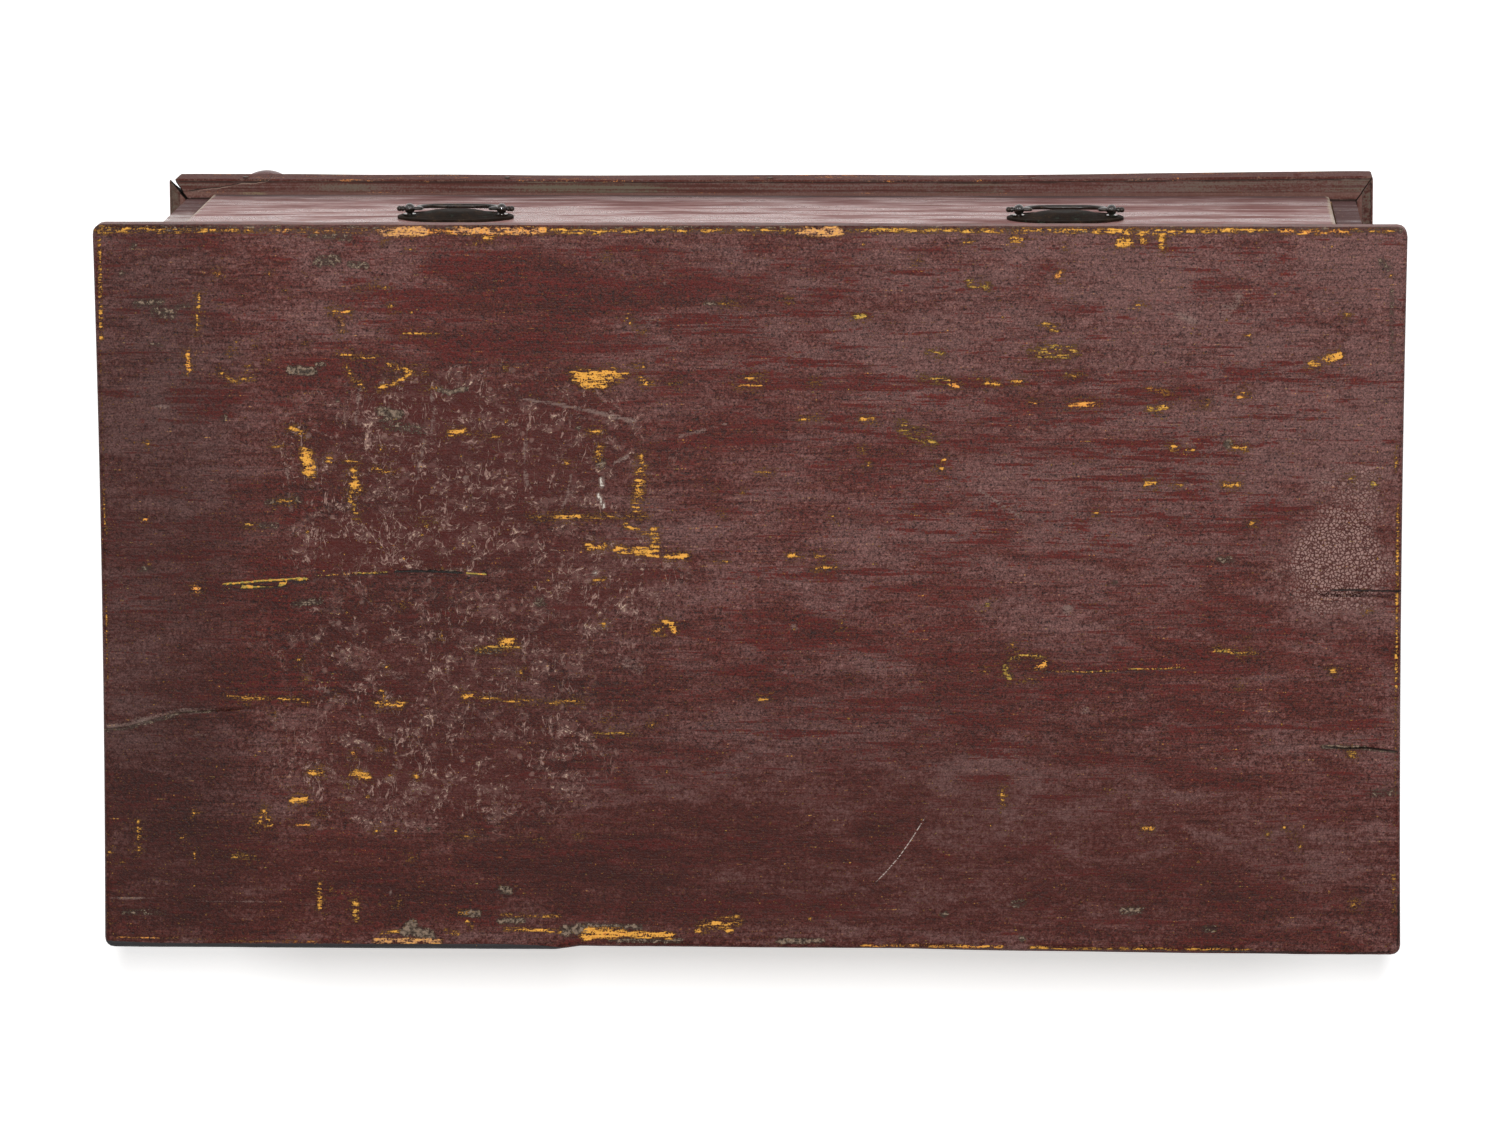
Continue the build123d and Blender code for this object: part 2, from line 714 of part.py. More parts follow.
# Screws and nails
with BuildPart() as top_screws:
    for x, y in screw_sites:
        head_z = rail_high_z + screw_sink - screw_head_height
        rod((x, y, head_z), (0, 0, 1), screw_head_radius, screw_head_height)
        rod((x, y, head_z), (0, 0, 1), screw_radius, case_top_z + screw_bite - head_z)
        slot_x = (x - screw_head_radius - overrun, x + screw_head_radius + overrun)
        slot_y = (y - screw_slot / 2, y + screw_slot / 2)
        board(slot_x, slot_y, (head_z - overrun, head_z + screw_slot), Mode.SUBTRACT)
save(top_screws, "top_screws")

nail_groups = {"moulding_nails": moulding_nails, "back_nails": back_nails, "drawer_nails": drawer_nails}
for group_name, drive in nail_groups.items():
    with BuildPart() as nails:
        drive()
    save(nails, group_name)

print("overall", top_width, top_depth, overall_z)
print("bail axis", ball_y, handle_z, "handle places", spread(handle_spread, 2))
print("drawer inside", drawer_inner_half, front_back_y, drawer_back_y, bottom_high_z, side_high_z)
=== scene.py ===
# One-drawer chest: worn oxblood paint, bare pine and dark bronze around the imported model
import math

import bmesh
import bpy
import numpy as np
from mathutils import Euler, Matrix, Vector


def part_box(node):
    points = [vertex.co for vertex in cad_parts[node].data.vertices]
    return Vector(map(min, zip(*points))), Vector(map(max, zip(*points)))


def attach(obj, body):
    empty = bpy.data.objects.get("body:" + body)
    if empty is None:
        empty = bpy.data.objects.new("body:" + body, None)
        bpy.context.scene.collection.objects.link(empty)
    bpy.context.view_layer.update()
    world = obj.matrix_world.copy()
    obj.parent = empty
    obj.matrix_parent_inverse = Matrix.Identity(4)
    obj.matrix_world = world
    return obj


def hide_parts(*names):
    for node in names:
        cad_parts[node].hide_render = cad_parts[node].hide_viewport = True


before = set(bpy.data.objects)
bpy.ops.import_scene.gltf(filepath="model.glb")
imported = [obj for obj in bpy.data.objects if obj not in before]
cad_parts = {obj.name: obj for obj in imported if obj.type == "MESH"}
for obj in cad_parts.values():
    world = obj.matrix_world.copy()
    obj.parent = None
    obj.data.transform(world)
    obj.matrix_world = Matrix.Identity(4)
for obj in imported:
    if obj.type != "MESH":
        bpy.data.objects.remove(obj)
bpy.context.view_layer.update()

mm = 0.001

# Camera, as the photograph was taken: nearly overhead, from in front of the chest
photo_width, photo_height = 1500, 1125
focal_pixels = 7575.1
sensor_width = 36.0
camera_place = Vector((-0.29663, -1.03659, 6.66771))
camera_turn = Euler([math.radians(angle) for angle in (-9.32640, 2.70927, 179.79097)])

# Sizes read from the frame
top_low, top_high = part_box("top_board_front")
top_half_x, top_half_y = top_high.x, -top_low.y
top_z = top_high.z
top_thickness = top_high.z - top_low.z
case_low, case_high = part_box("side_board_right")
case_half_x, case_front_y = case_high.x, case_low.y
moulding_low, moulding_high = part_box("base_moulding_front")
ledge_z = moulding_high.z
drawer_low, drawer_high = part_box("drawer_front")


# Noise and places

noise_cells, octave_shift = 32, 7.3


def smooth_noise(places, size, seed, octaves=1):
    """Smooth noise from -1 to 1 at rows of x, y, z places; size is its features' length on each axis."""
    table = np.random.default_rng(seed).uniform(-1, 1, (noise_cells,) * 3)
    size = np.broadcast_to(np.asarray(size, float), 3)
    total, share = np.zeros(len(places)), 1.0
    for octave in range(octaves):
        at = places / size * 2**octave + octave_shift * octave
        low = np.floor(at).astype(int)
        part = at - low
        part = part * part * (3 - 2 * part)
        value = np.zeros(len(places))
        for corner in np.ndindex(2, 2, 2):
            weight = np.prod(np.where(corner, part, 1 - part), axis=1)
            cell = (low + corner) % noise_cells
            value += weight * table[cell[:, 0], cell[:, 1], cell[:, 2]]
        total += share * value
        share *= 0.5
    return total


def fade(values, low, high):
    """A smooth step from 0 at low to 1 at high."""
    part = np.clip((values - low) / (high - low), 0, 1)
    return part * part * (3 - 2 * part)


def between(values, low, high, outside, inside):
    """1 between low and high; each end fades from a distance outside it to a distance inside it."""
    return fade(values, low - outside, low + inside) * fade(-values, -high - outside, inside - high)


def on_level(pixels, height):
    """The x and y, in metres, where the photograph's pixels meet a level plane."""
    pixels = np.asarray(pixels, float).reshape(-1, 2)
    across, down = pixels[:, 0] - photo_width / 2, pixels[:, 1] - photo_height / 2
    rays = np.c_[across, -down, np.full(len(pixels), -focal_pixels)] @ np.array(camera_turn.to_matrix()).T
    reach = (height - camera_place.z) / rays[:, 2]
    return (np.array(camera_place) + rays * reach[:, None])[:, :2]


def line_on_top(numbers):
    """The line on the top through pairs of pixel numbers; a single pair is a round spot."""
    pixels = list(zip(numbers[::2], numbers[1::2]))
    if len(pixels) == 1:
        pixels.append((pixels[0][0] + 0.5, pixels[0][1]))
    return on_level(pixels, top_z)


pixel_on_top = float(np.linalg.norm(np.diff(line_on_top((700, 560, 701, 560)), axis=0)))


def from_line(places, line):
    """The signed distance of x, y places from a line through points, and the share of the way along it."""
    best = np.full(len(places), np.inf)
    signed, along = np.zeros(len(places)), np.zeros(len(places))
    lengths = [np.linalg.norm(b - a) for a, b in zip(line, line[1:])]
    passed = 0.0
    for a, b, length in zip(line, line[1:], lengths):
        run = (b - a) / length
        offset = places - a
        share = np.clip(offset @ run / length, 0, 1)
        gap = offset - np.outer(share * length, run)
        distance = np.hypot(gap[:, 0], gap[:, 1])
        side = np.where(run[0] * offset[:, 1] - run[1] * offset[:, 0] < 0, -1.0, 1.0)
        near = distance < best
        best[near] = distance[near]
        signed[near] = (side * distance)[near]
        along[near] = ((passed + share * length) / sum(lengths))[near]
        passed += length
    return signed, along


# Meshes

def store(mesh, name, values):
    """Keeps a number for each vertex, for the materials to read."""
    attribute = mesh.attributes.new(name, "FLOAT", "POINT")
    attribute.data.foreach_set("value", np.asarray(values, np.float32))


def link_mesh(name, mesh, sharp_angle, flat_face=None):
    """An object with smooth faces, split at edges sharper than an angle in degrees."""
    mesh.polygons.foreach_set("use_smooth", [True] * len(mesh.polygons))
    if flat_face is not None:
        mesh.polygons[flat_face].use_smooth = False
    mesh.update()
    mesh.set_sharp_from_angle(angle=math.radians(sharp_angle))
    thing = bpy.data.objects.new(name, mesh)
    bpy.context.scene.collection.objects.link(thing)
    return thing


def ring_faces(rings):
    """Faces between rows of vertex numbers, each of which runs round a ring."""
    after = np.roll(rings, -1, axis=1)
    return np.stack([rings[:-1], rings[1:], after[1:], after[:-1]], axis=-1).reshape(-1, 4)


def closed_mesh(name, vertices, faces):
    """A mesh whose faces all point outward."""
    mesh = bpy.data.meshes.new(name)
    mesh.from_pydata(vertices.tolist(), [], faces)
    grid = bmesh.new()
    grid.from_mesh(mesh)
    bmesh.ops.recalc_face_normals(grid, faces=grid.faces)
    grid.to_mesh(mesh)
    grid.free()
    return mesh


def paint(thing, finish):
    thing.data.materials.clear()
    thing.data.materials.append(finish)


def dress(thing, node, body, finish):
    """Puts a new piece in a node's place."""
    paint(thing, finish)
    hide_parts(node)
    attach(thing, body)


# The top's marks, each given as half width in pixels, strength, hue, then the pixels on its way.
# Hue runs from -1, bare wood, past 0, golden primer, to 1, greenish primer.

primer_marks = {
    "wide_flake": [(6, 1.05, 0, 578, 377, 612, 374), (5, 0.95, 0, 584, 384, 604, 384),
        (7, 0.5, 0, 600, 380, 624, 376), (5, 0.45, 0, 572, 372, 580, 372)],
    "flecks_right_of_wide_flake": [(1.5, 0.8, 0, 634, 365, 645, 366), (2.6, 1, 0, 640, 379, 646, 383),
        (1.6, 0.8, 0, 652, 384), (2, 0.6, 0.5, 669, 383, 680, 383)],
    "thin_diagonal": [(1, 0.7, 0, 626, 317, 634, 328), (1.6, 1, 0, 642, 332)],
    "ring_top": [(1.3, 0.9, 0, 341, 354, 374, 358), (2.2, 1, 0, 387, 365, 400, 368, 412, 372),
        (1.8, 0.9, 0, 411, 373, 403, 379, 391, 385, 380, 387)],
    "ring_side": [(1.5, 0.8, 0.3, 347, 367, 353, 380, 363, 387), (2, 0.9, 0, 424, 371),
        (1.4, 0.7, 0, 425, 389, 437, 388)],
    "upper_left_line": [(1.6, 0.85, 0.3, 199, 295, 198, 310, 197, 329), (3, 0.9, -0.2, 188, 353, 188, 371),
        (1.7, 0.8, 0.3, 219, 371, 232, 381, 252, 378), (3, 0.8, -0.3, 217, 274)],
    "upper_left_dashes": [(1.2, 0.7, 0, 356, 288, 391, 286), (1.3, 1, 0, 330, 311, 350, 311),
        (2.6, 0.9, 0, 391, 306), (1.3, 0.6, 0, 403, 333, 436, 333), (4.5, 0.48, -0.8, 340, 318, 342, 330)],
    "upper_left_flecks": [(1.4, 0.9, 0, 255, 345), (1.4, 0.9, 0, 231, 353), (1.6, 0.7, 0, 248, 365),
        (1.6, 0.9, -0.3, 268, 361), (1.5, 0.9, 0, 269, 273), (1.3, 0.8, 0, 285, 290),
        (1.4, 0.8, 0, 147, 444), (1.3, 0.8, 0, 305, 345)],
    "twin_marks": [(2.2, 1.1, 0, 291, 428, 297, 430, 303, 434), (1.6, 0.6, 0, 273, 446, 282, 446)],
    "tall_flake": [(6.5, 1.25, 0, 307, 456, 309, 470), (5, 0.6, 0, 303, 450, 312, 476),
        (3.4, 1.1, 0, 329, 460)],
    "long_fall": [(1.6, 0.9, 0, 347, 461, 359, 461), (3, 0.95, 0, 353, 468, 356, 488),
        (5, 1, 0, 354, 483, 357, 490), (2.4, 0.9, 0.2, 351, 492, 350, 502),
        (1.8, 0.9, 0.4, 353, 505, 357, 518)],
    "beside_long_fall": [(2, 0.85, 0, 373, 468, 382, 471, 394, 472), (2, 0.9, 0, 381, 449),
        (1.8, 1, 0, 275, 501, 292, 501)],
    "middle_flake": [(3, 1.05, 0, 449, 434, 465, 431), (1, 0.7, 0.2, 466, 434, 500, 437),
        (4, 0.5, 0.4, 504, 368)],
    "ladder": [(2.4, 1, 0, 641, 456, 642, 464), (6.5, 0.62, 0, 642, 468, 637, 508),
        (4.5, 0.55, 0, 601, 447, 597, 459), (1.6, 1, 0, 588, 432, 601, 432)],
    "upper_middle_flecks": [(1.6, 0.7, 0.3, 722, 304, 736, 304), (1.7, 0.9, 0, 789, 300),
        (3, 0.9, 0.9, 856, 317, 864, 316), (1.6, 0.9, 0, 918, 260), (1.5, 1, 0, 607, 257),
        (2.8, 0.8, 0.2, 566, 463)],
    "dashes_right_of_middle": [(1.2, 1, 0, 744, 378, 763, 377), (2, 0.75, -0.2, 737, 386, 761, 386),
        (1.2, 0.9, 0, 810, 382, 818, 382), (1, 0.7, 0, 799, 419, 824, 418), (2.4, 1, 0, 862, 419, 874, 420),
        (1.7, 0.9, 0, 862, 450), (1.5, 0.9, 0, 868, 464), (2.5, 0.7, -0.4, 944, 459), (2, 1, 0, 941, 469)],
    "greenish_crackle": [(5, 0.5, 0.7, 922, 379, 948, 381), (5, 0.5, 0.7, 928, 353, 943, 354),
        (9, 0.46, 0.7, 904, 427, 930, 442), (6, 0.5, 0.7, 971, 283, 986, 287),
        (9, 0.52, 0.6, 1036, 352, 1070, 352), (4, 0.55, 0.4, 1045, 324, 1056, 330)],
    "row_of_dashes": [(3, 0.95, -0.3, 951, 384, 957, 386), (2, 0.7, 0.3, 978, 378),
        (2.2, 1, 0, 986, 383, 998, 384), (1.5, 0.9, 0, 1012, 382, 1022, 381),
        (1.5, 0.9, 0, 1067, 375, 1079, 375), (2.8, 1, -0.3, 1070, 405, 1096, 404),
        (2.2, 0.55, -0.3, 1026, 403, 1045, 403)],
    "upper_right_flecks": [(2, 0.95, 0.2, 1137, 306, 1143, 306), (3.5, 0.75, 0.4, 1346, 316),
        (2.4, 0.9, 0.1, 1249, 336), (2.4, 0.8, -0.3, 1056, 278, 1061, 272),
        (3.6, 0.9, 0.1, 1310, 365, 1318, 363), (4.5, 1.15, 0, 1328, 359, 1338, 356),
        (3, 1, -0.2, 1239, 396, 1243, 394), (3.4, 0.8, 0.4, 1149, 408, 1165, 408),
        (4.5, 0.42, -0.3, 1150, 388, 1170, 394), (1.5, 0.8, 0.2, 1199, 405, 1208, 405)],
    "right_dashes": [(3, 1.05, 0, 1172, 448, 1177, 448), (2, 0.7, 0, 1186, 449, 1194, 449),
        (2, 0.95, 0.2, 1234, 447, 1246, 448), (2.8, 1.05, 0, 1146, 484, 1155, 484),
        (1.5, 0.6, 0, 1170, 485, 1182, 485), (2.2, 1.05, 0, 1224, 485, 1239, 485), (2.2, 0.9, 0, 1096, 513),
        (2.5, 1, -0.1, 1251, 524), (3, 0.7, 0.6, 1351, 480), (4, 0.6, 0.8, 1374, 484)],
    "bracket": [(1.3, 0.95, 0.3, 534, 517, 560, 517), (2, 1, 0, 556, 517, 580, 517),
        (1.3, 0.95, 0.2, 580, 517, 647, 517), (5, 0.62, 0, 654, 530, 656, 552),
        (3, 0.62, 0, 624, 524, 646, 534), (5, 1.05, 0, 638, 551, 656, 553), (3.6, 1, 0, 616, 549, 640, 551),
        (4, 0.95, 0, 589, 546, 603, 546), (2.8, 1.15, 0, 667, 557, 686, 556)],
    "middle_dashes": [(2.4, 0.8, 0, 789, 556, 798, 556), (1.2, 0.8, 0, 815, 557, 828, 557),
        (1.5, 1, 0, 817, 568, 836, 568), (1.8, 0.7, 0, 832, 517), (1.2, 0.6, 0, 713, 562, 728, 562),
        (1.2, 0.7, 0, 592, 581, 604, 580), (1.6, 0.8, 0, 841, 625), (2, 0.7, 0, 712, 491),
        (1.4, 0.8, 0, 742, 493), (1.3, 0.8, 0, 722, 513), (2, 0.55, 0.2, 755, 472, 776, 472)],
    "broken_ring": [(2.3, 1.05, 0, 655, 631, 661, 628), (2.5, 1.05, 0, 664, 621, 671, 624, 675, 631),
        (1.5, 0.7, 0, 664, 635), (2.8, 0.8, 0.1, 603, 624)],
    "lower_middle_flake": [(3.6, 1.15, 0, 502, 642, 511, 641), (1.5, 1, 0.6, 475, 650, 490, 648, 518, 647),
        (2.6, 0.8, 0.1, 521, 673)],
    "left_knot": [(3.5, 0.8, -0.5, 194, 588, 199, 590)],
    "lower_left_line": [(1.7, 0.62, 0, 228, 696, 258, 698, 285, 699, 309, 702), (2, 0.75, -0.2, 335, 697),
        (1.8, 0.75, 0, 273, 715), (1.3, 0.6, 0, 245, 706)],
    "lower_dashes": [(3, 1, 0, 377, 704, 402, 704), (2.8, 0.75, 0, 381, 692, 386, 700),
        (2.5, 1, 0, 463, 696, 471, 696), (1.3, 0.8, 0.2, 472, 697, 520, 701, 556, 703),
        (1.4, 1, 0, 556, 702, 582, 702), (1.5, 0.9, 0, 604, 722), (1.5, 0.7, 0, 615, 716),
        (1.5, 1, 0, 651, 725), (1.1, 0.7, 0.6, 595, 733, 633, 734), (1.3, 0.9, 0, 759, 699, 768, 699)],
    "small_left_flecks": [(2, 0.8, 0, 298, 660), (2.6, 0.7, 0.6, 306, 679), (1.5, 0.9, 0, 441, 635),
        (1.3, 0.9, 0, 402, 605), (1.5, 0.9, 0.4, 386, 668), (2, 1.05, -0.5, 145, 520),
        (1.8, 0.8, 0.6, 243, 526, 252, 526), (1.4, 0.7, 0.6, 420, 522, 435, 522)],
    "lower_left_group": [(3.4, 1.05, 0, 311, 773, 320, 772), (2.4, 1, -0.3, 353, 754),
        (2, 0.9, -0.3, 379, 750), (4.2, 0.95, 0, 352, 773, 367, 777), (3.6, 0.6, 0.6, 347, 786),
        (1.8, 0.7, -0.2, 390, 774), (2.4, 1, 0, 416, 776), (3.4, 1.15, 0, 293, 801, 305, 799)],
    "triangle": [(1.7, 0.95, 0, 265, 809, 258, 825), (2, 0.9, 0, 264, 812, 271, 824),
        (1.5, 0.7, 0, 260, 826, 268, 826)],
    "lower_left_dots": [(1.4, 0.8, 0, 320, 814), (1.4, 0.8, 0, 344, 808),
        (1.5, 0.7, -0.3, 296, 825, 309, 825), (2, 0.85, 0, 376, 830), (1.7, 0.85, 0, 396, 830),
        (2.5, 1.1, 0, 194, 814), (2, 0.65, 0.2, 139, 820, 139, 853), (2, 0.7, 0, 182, 838),
        (1.2, 0.6, 0, 194, 850, 194, 860), (2.6, 0.6, 0.5, 233, 856, 254, 857), (2.4, 0.7, 0, 110, 851),
        (2.5, 0.55, 0.2, 122, 862), (1.5, 0.7, 0, 407, 856, 413, 858), (1.3, 0.6, 0, 450, 835, 475, 836),
        (1.3, 0.9, 0, 540, 841), (1.3, 0.9, 0, 579, 836)],
    "lower_left_ladders": [(2.6, 0.66, -0.1, 320, 884, 320, 909), (2.4, 0.6, 0, 331, 890),
        (3.6, 0.75, 0.3, 355, 902, 356, 918), (2, 0.8, 0.2, 398, 902), (2, 0.7, 0, 109, 919)],
    "round_knot": [(3.6, 0.85, 0.9, 1005, 668, 1009, 677),
        (2.4, 0.7, 0.6, 1010, 658, 1026, 655, 1040, 657, 1048, 662), (3, 0.8, -0.2, 1036, 668, 1045, 664),
        (2, 0.6, 0.5, 1020, 681, 1035, 678), (2, 0.9, 0.2, 1012, 645), (3, 0.5, 0.9, 987, 605),
        (1.8, 0.9, 0.1, 984, 670)],
    "lower_right_flecks": [(1.3, 0.95, 0.2, 1218, 649, 1240, 654, 1255, 654), (2.7, 0.8, 0.4, 1238, 686),
        (3.2, 0.85, 0.2, 1333, 671), (1.6, 0.8, 0, 1248, 640), (2.4, 0.9, 0.1, 1367, 611),
        (1.5, 0.9, 0.3, 1003, 790, 1003, 806), (2.4, 0.95, 0, 1144, 829, 1152, 828),
        (1.8, 0.8, 0.5, 1267, 834), (1.8, 0.8, 0.5, 1295, 834), (2, 0.75, 0, 1284, 827),
        (2.2, 0.8, 0.3, 1301, 846), (2.5, 0.6, 0.6, 1111, 789), (4, 0.9, 0, 1355, 904),
        (3.5, 0.66, 0.5, 1350, 752, 1354, 755)],
    "below_front_edge": [(2, 0.9, 0.1, 386, 241), (1.5, 0.7, 0.1, 411, 249),
        (3, 0.95, 0, 486, 238, 492, 237), (1.5, 0.8, 0, 476, 244), (2, 0.85, 0.1, 965, 242, 971, 242),
        (3.4, 1, 0.1, 1013, 240, 1020, 240), (4.6, 1.1, 0.1, 1120, 243.5, 1130, 242),
        (3.4, 1, 0, 1143, 240.5), (2.8, 1.05, 0.2, 1162, 234, 1162, 248), (1.8, 0.8, 0, 1064, 247)],
}
front_edge_wear = {
    "left_corner": [(5, 0.6, 0.3, 98, 231, 112, 229)],
    "left_end": [(3, 0.66, 0.2, 112, 230, 158, 230), (2.4, 0.7, 0.1, 158, 231, 205, 231)],
    "near_left_handle": [(2.2, 0.55, 0, 205, 230, 262, 231), (2.8, 0.5, -0.7, 262, 231, 378, 231)],
    "bare_patch_left": [(4.8, 1.15, -1, 384, 232, 424, 232)],
    "bare_strip": [(2.6, 0.7, -0.3, 424, 231, 455, 231), (4, 0.95, -0.7, 455, 231, 543, 231)],
    "ochre_strip": [(3.2, 0.72, 0.2, 545, 231, 600, 232), (2.4, 0.64, 0.2, 600, 231, 692, 231)],
    "middle_strip": [(2.4, 0.55, 0.1, 692, 231, 772, 231), (2.6, 0.75, 0.4, 772, 231, 800, 231)],
    "bare_patch_middle": [(4.6, 1.1, -1, 800, 232, 840, 232), (2, 0.55, 0, 840, 231, 862, 231)],
    "yellow_strip": [(2.6, 0.7, 0.4, 862, 231, 985, 231), (2.8, 0.65, 0.1, 985, 231, 1010, 231)],
    "golden_strip": [(3, 0.7, 0.15, 1010, 231, 1118, 231), (3.6, 0.76, 0.1, 1118, 232, 1180, 232)],
    "right_strip": [(2.6, 0.68, 0.15, 1188, 231, 1260, 231), (1.5, 0.5, 0, 1260, 230, 1282, 230)],
    "right_end": [(3, 0.74, -0.3, 1282, 232, 1350, 232), (2, 0.5, 0, 1350, 230, 1398, 231)],
}
rear_edge_wear = {
    "left_thread": [(1.2, 0.56, -0.6, 115, 938, 240, 940), (1.2, 0.5, -0.6, 240, 940, 365, 942)],
    "tan_strip": [(3, 0.95, -0.9, 374, 941, 440, 941), (2, 0.6, 0.1, 378, 934, 398, 931)],
    "orange_dashes": [(2.2, 0.8, 0, 446, 931, 458, 934), (2.2, 0.9, 0, 505, 929, 560, 931),
        (2.4, 0.75, 0, 459, 913, 468, 912), (2, 0.8, 0, 467, 922, 472, 928),
        (1.8, 0.6, 0, 500, 915, 560, 916)],
    "orange_strip": [(4.2, 1.15, -0.1, 584, 936, 625, 934), (4.2, 1.05, 0, 588, 931, 622, 932),
        (3.8, 1.12, 0, 625, 934.5, 671, 935.5), (2, 0.9, 0, 696, 931, 702, 931)],
    "orange_scatter": [(7.5, 0.5, 0, 702, 928, 737, 920), (2.6, 0.85, 0, 712, 924, 720, 923),
        (2.4, 0.9, 0, 725, 931, 732, 931)],
    "right_thread": [(1.6, 0.7, -0.3, 862, 946, 928, 946), (1.7, 1, -0.2, 928, 947, 1002, 947),
        (1.6, 0.9, 0.1, 1030, 948, 1054, 948), (1.3, 0.75, 0.1, 1054, 949, 1250, 950)],
}
side_edge_wear = {
    "left_arris": [(1.8, 0.72, 0.1, 99, 240, 101, 340), (1.2, 0.36, 0.1, 101, 340, 104, 490),
        (1.6, 0.62, 0.1, 104, 490, 106, 536), (1.4, 0.5, 0, 106, 584, 108, 680),
        (1.2, 0.4, 0, 109, 700, 110, 840)],
    "right_arris": [(2.6, 0.6, 0.2, 1397, 445, 1396, 470), (1.6, 0.7, 0, 1398, 505, 1397, 600),
        (1.6, 0.72, 0, 1397, 600, 1396, 690), (1.3, 0.42, 0, 1396, 690, 1395, 800),
        (1.8, 0.5, 0, 1394, 870, 1394, 916), (1.6, 0.8, -0.2, 1391, 276)],
}
coat_marks = {
    "near_front_edge": [(6, 0.75, 0, 318, 262, 336, 260), (3.6, 0.7, 0, 350, 264, 366, 266),
        (3.5, 0.6, 0, 310, 236, 350, 238)],
    # A dark line all along the front arris
    "dark_line_along_arris": [(4, 0.46, 0, 98, 229, 1400, 230)],
    "dark_greens": [(5, 0.6, 0, 137, 304, 160, 301), (6, 0.62, 0, 155, 312, 172, 314),
        (3, 0.5, 0, 176, 306, 192, 305), (2, 0.55, 0, 150, 344, 162, 345), (4, 0.6, 0, 122, 274),
        (4, 0.6, 0, 133, 246), (4, 0.55, 0, 224, 418)],
    "ring_greys": [(4.5, 0.95, 0, 291, 370, 313, 372), (2, 0.8, 0, 316, 364, 324, 365),
        (5, 1, 0, 381, 411, 399, 415), (2.6, 0.9, 0, 436, 388, 448, 393, 466, 389), (2.6, 0.8, 0, 337, 400),
        (7, 0.5, 0, 384, 424, 420, 430)],
    "middle_greys": [(5.5, 0.75, 0, 600, 463), (3, 0.75, 0, 578, 428)],
    "rear_mass": [(5, 1.15, 0, 404, 932, 412, 924), (5.5, 1.1, 0, 412, 930, 430, 936)],
    "rear_patches": [(4, 0.85, 0, 463, 913, 478, 914), (3.6, 0.8, 0, 500, 921, 522, 921),
        (4.5, 0.9, 0, 502, 889, 508, 891), (5.5, 0.9, 0, 564, 931, 590, 928),
        (3, 0.9, 0, 779, 941, 822, 941), (3, 0.75, 0, 610, 940, 680, 941), (3, 0.8, 0, 598, 926, 640, 927)],
    "lower_right_greys": [(4.5, 0.6, 0, 944, 914), (4.5, 0.6, 0, 1014, 904, 1022, 903),
        (5, 0.62, 0, 1124, 911, 1140, 909), (4, 0.55, 0, 1205, 929, 1214, 929),
        (5, 0.5, 0, 1370, 794, 1395, 792), (3.6, 0.7, 0, 1022, 939)],
    "left_bottom_greys": [(3.6, 0.55, 0, 124, 912, 164, 912), (3, 0.6, 0, 428, 829)],
    "turquoise_spot": [(4.2, 1.15, 0, 1228, 444)],
    "dark_spots": [(6.5, 0.66, 0, 540, 603), (4, 0.62, 0, 294, 605, 320, 601), (3.6, 0.58, 0, 1114, 583),
        (4, 0.5, 0, 707, 304, 726, 304), (4, 0.55, 0, 1219, 560, 1231, 560),
        (3.6, 0.62, 0, 140, 570, 150, 569), (4, 0.56, 0, 260, 526, 276, 526),
        (4, 0.6, 0, 268, 503, 300, 500), (4, 0.6, 0, 478, 652, 500, 650)],
    "front_right_wear": [(4, 0.65, 0, 1381, 262, 1388, 268), (3, 0.42, 0, 1392, 290, 1392, 360)],
    "long_crack_dark": [(3.2, 0.62, 0, 392, 572.5, 433, 572.5, 466, 574),
        (2.6, 0.5, 0, 316, 578, 392, 574)],
    "left_crack_band": [(2.4, 0.5, 0, 104, 730.5, 128, 728, 150, 722, 176, 715),
        (1.8, 0.5, 0, 176, 713, 216, 711)],
    "knot_streak": [(2, 0.95, 0, 1322, 747, 1366, 748), (1.4, 0.8, 0, 1366, 749, 1396, 752)],
}
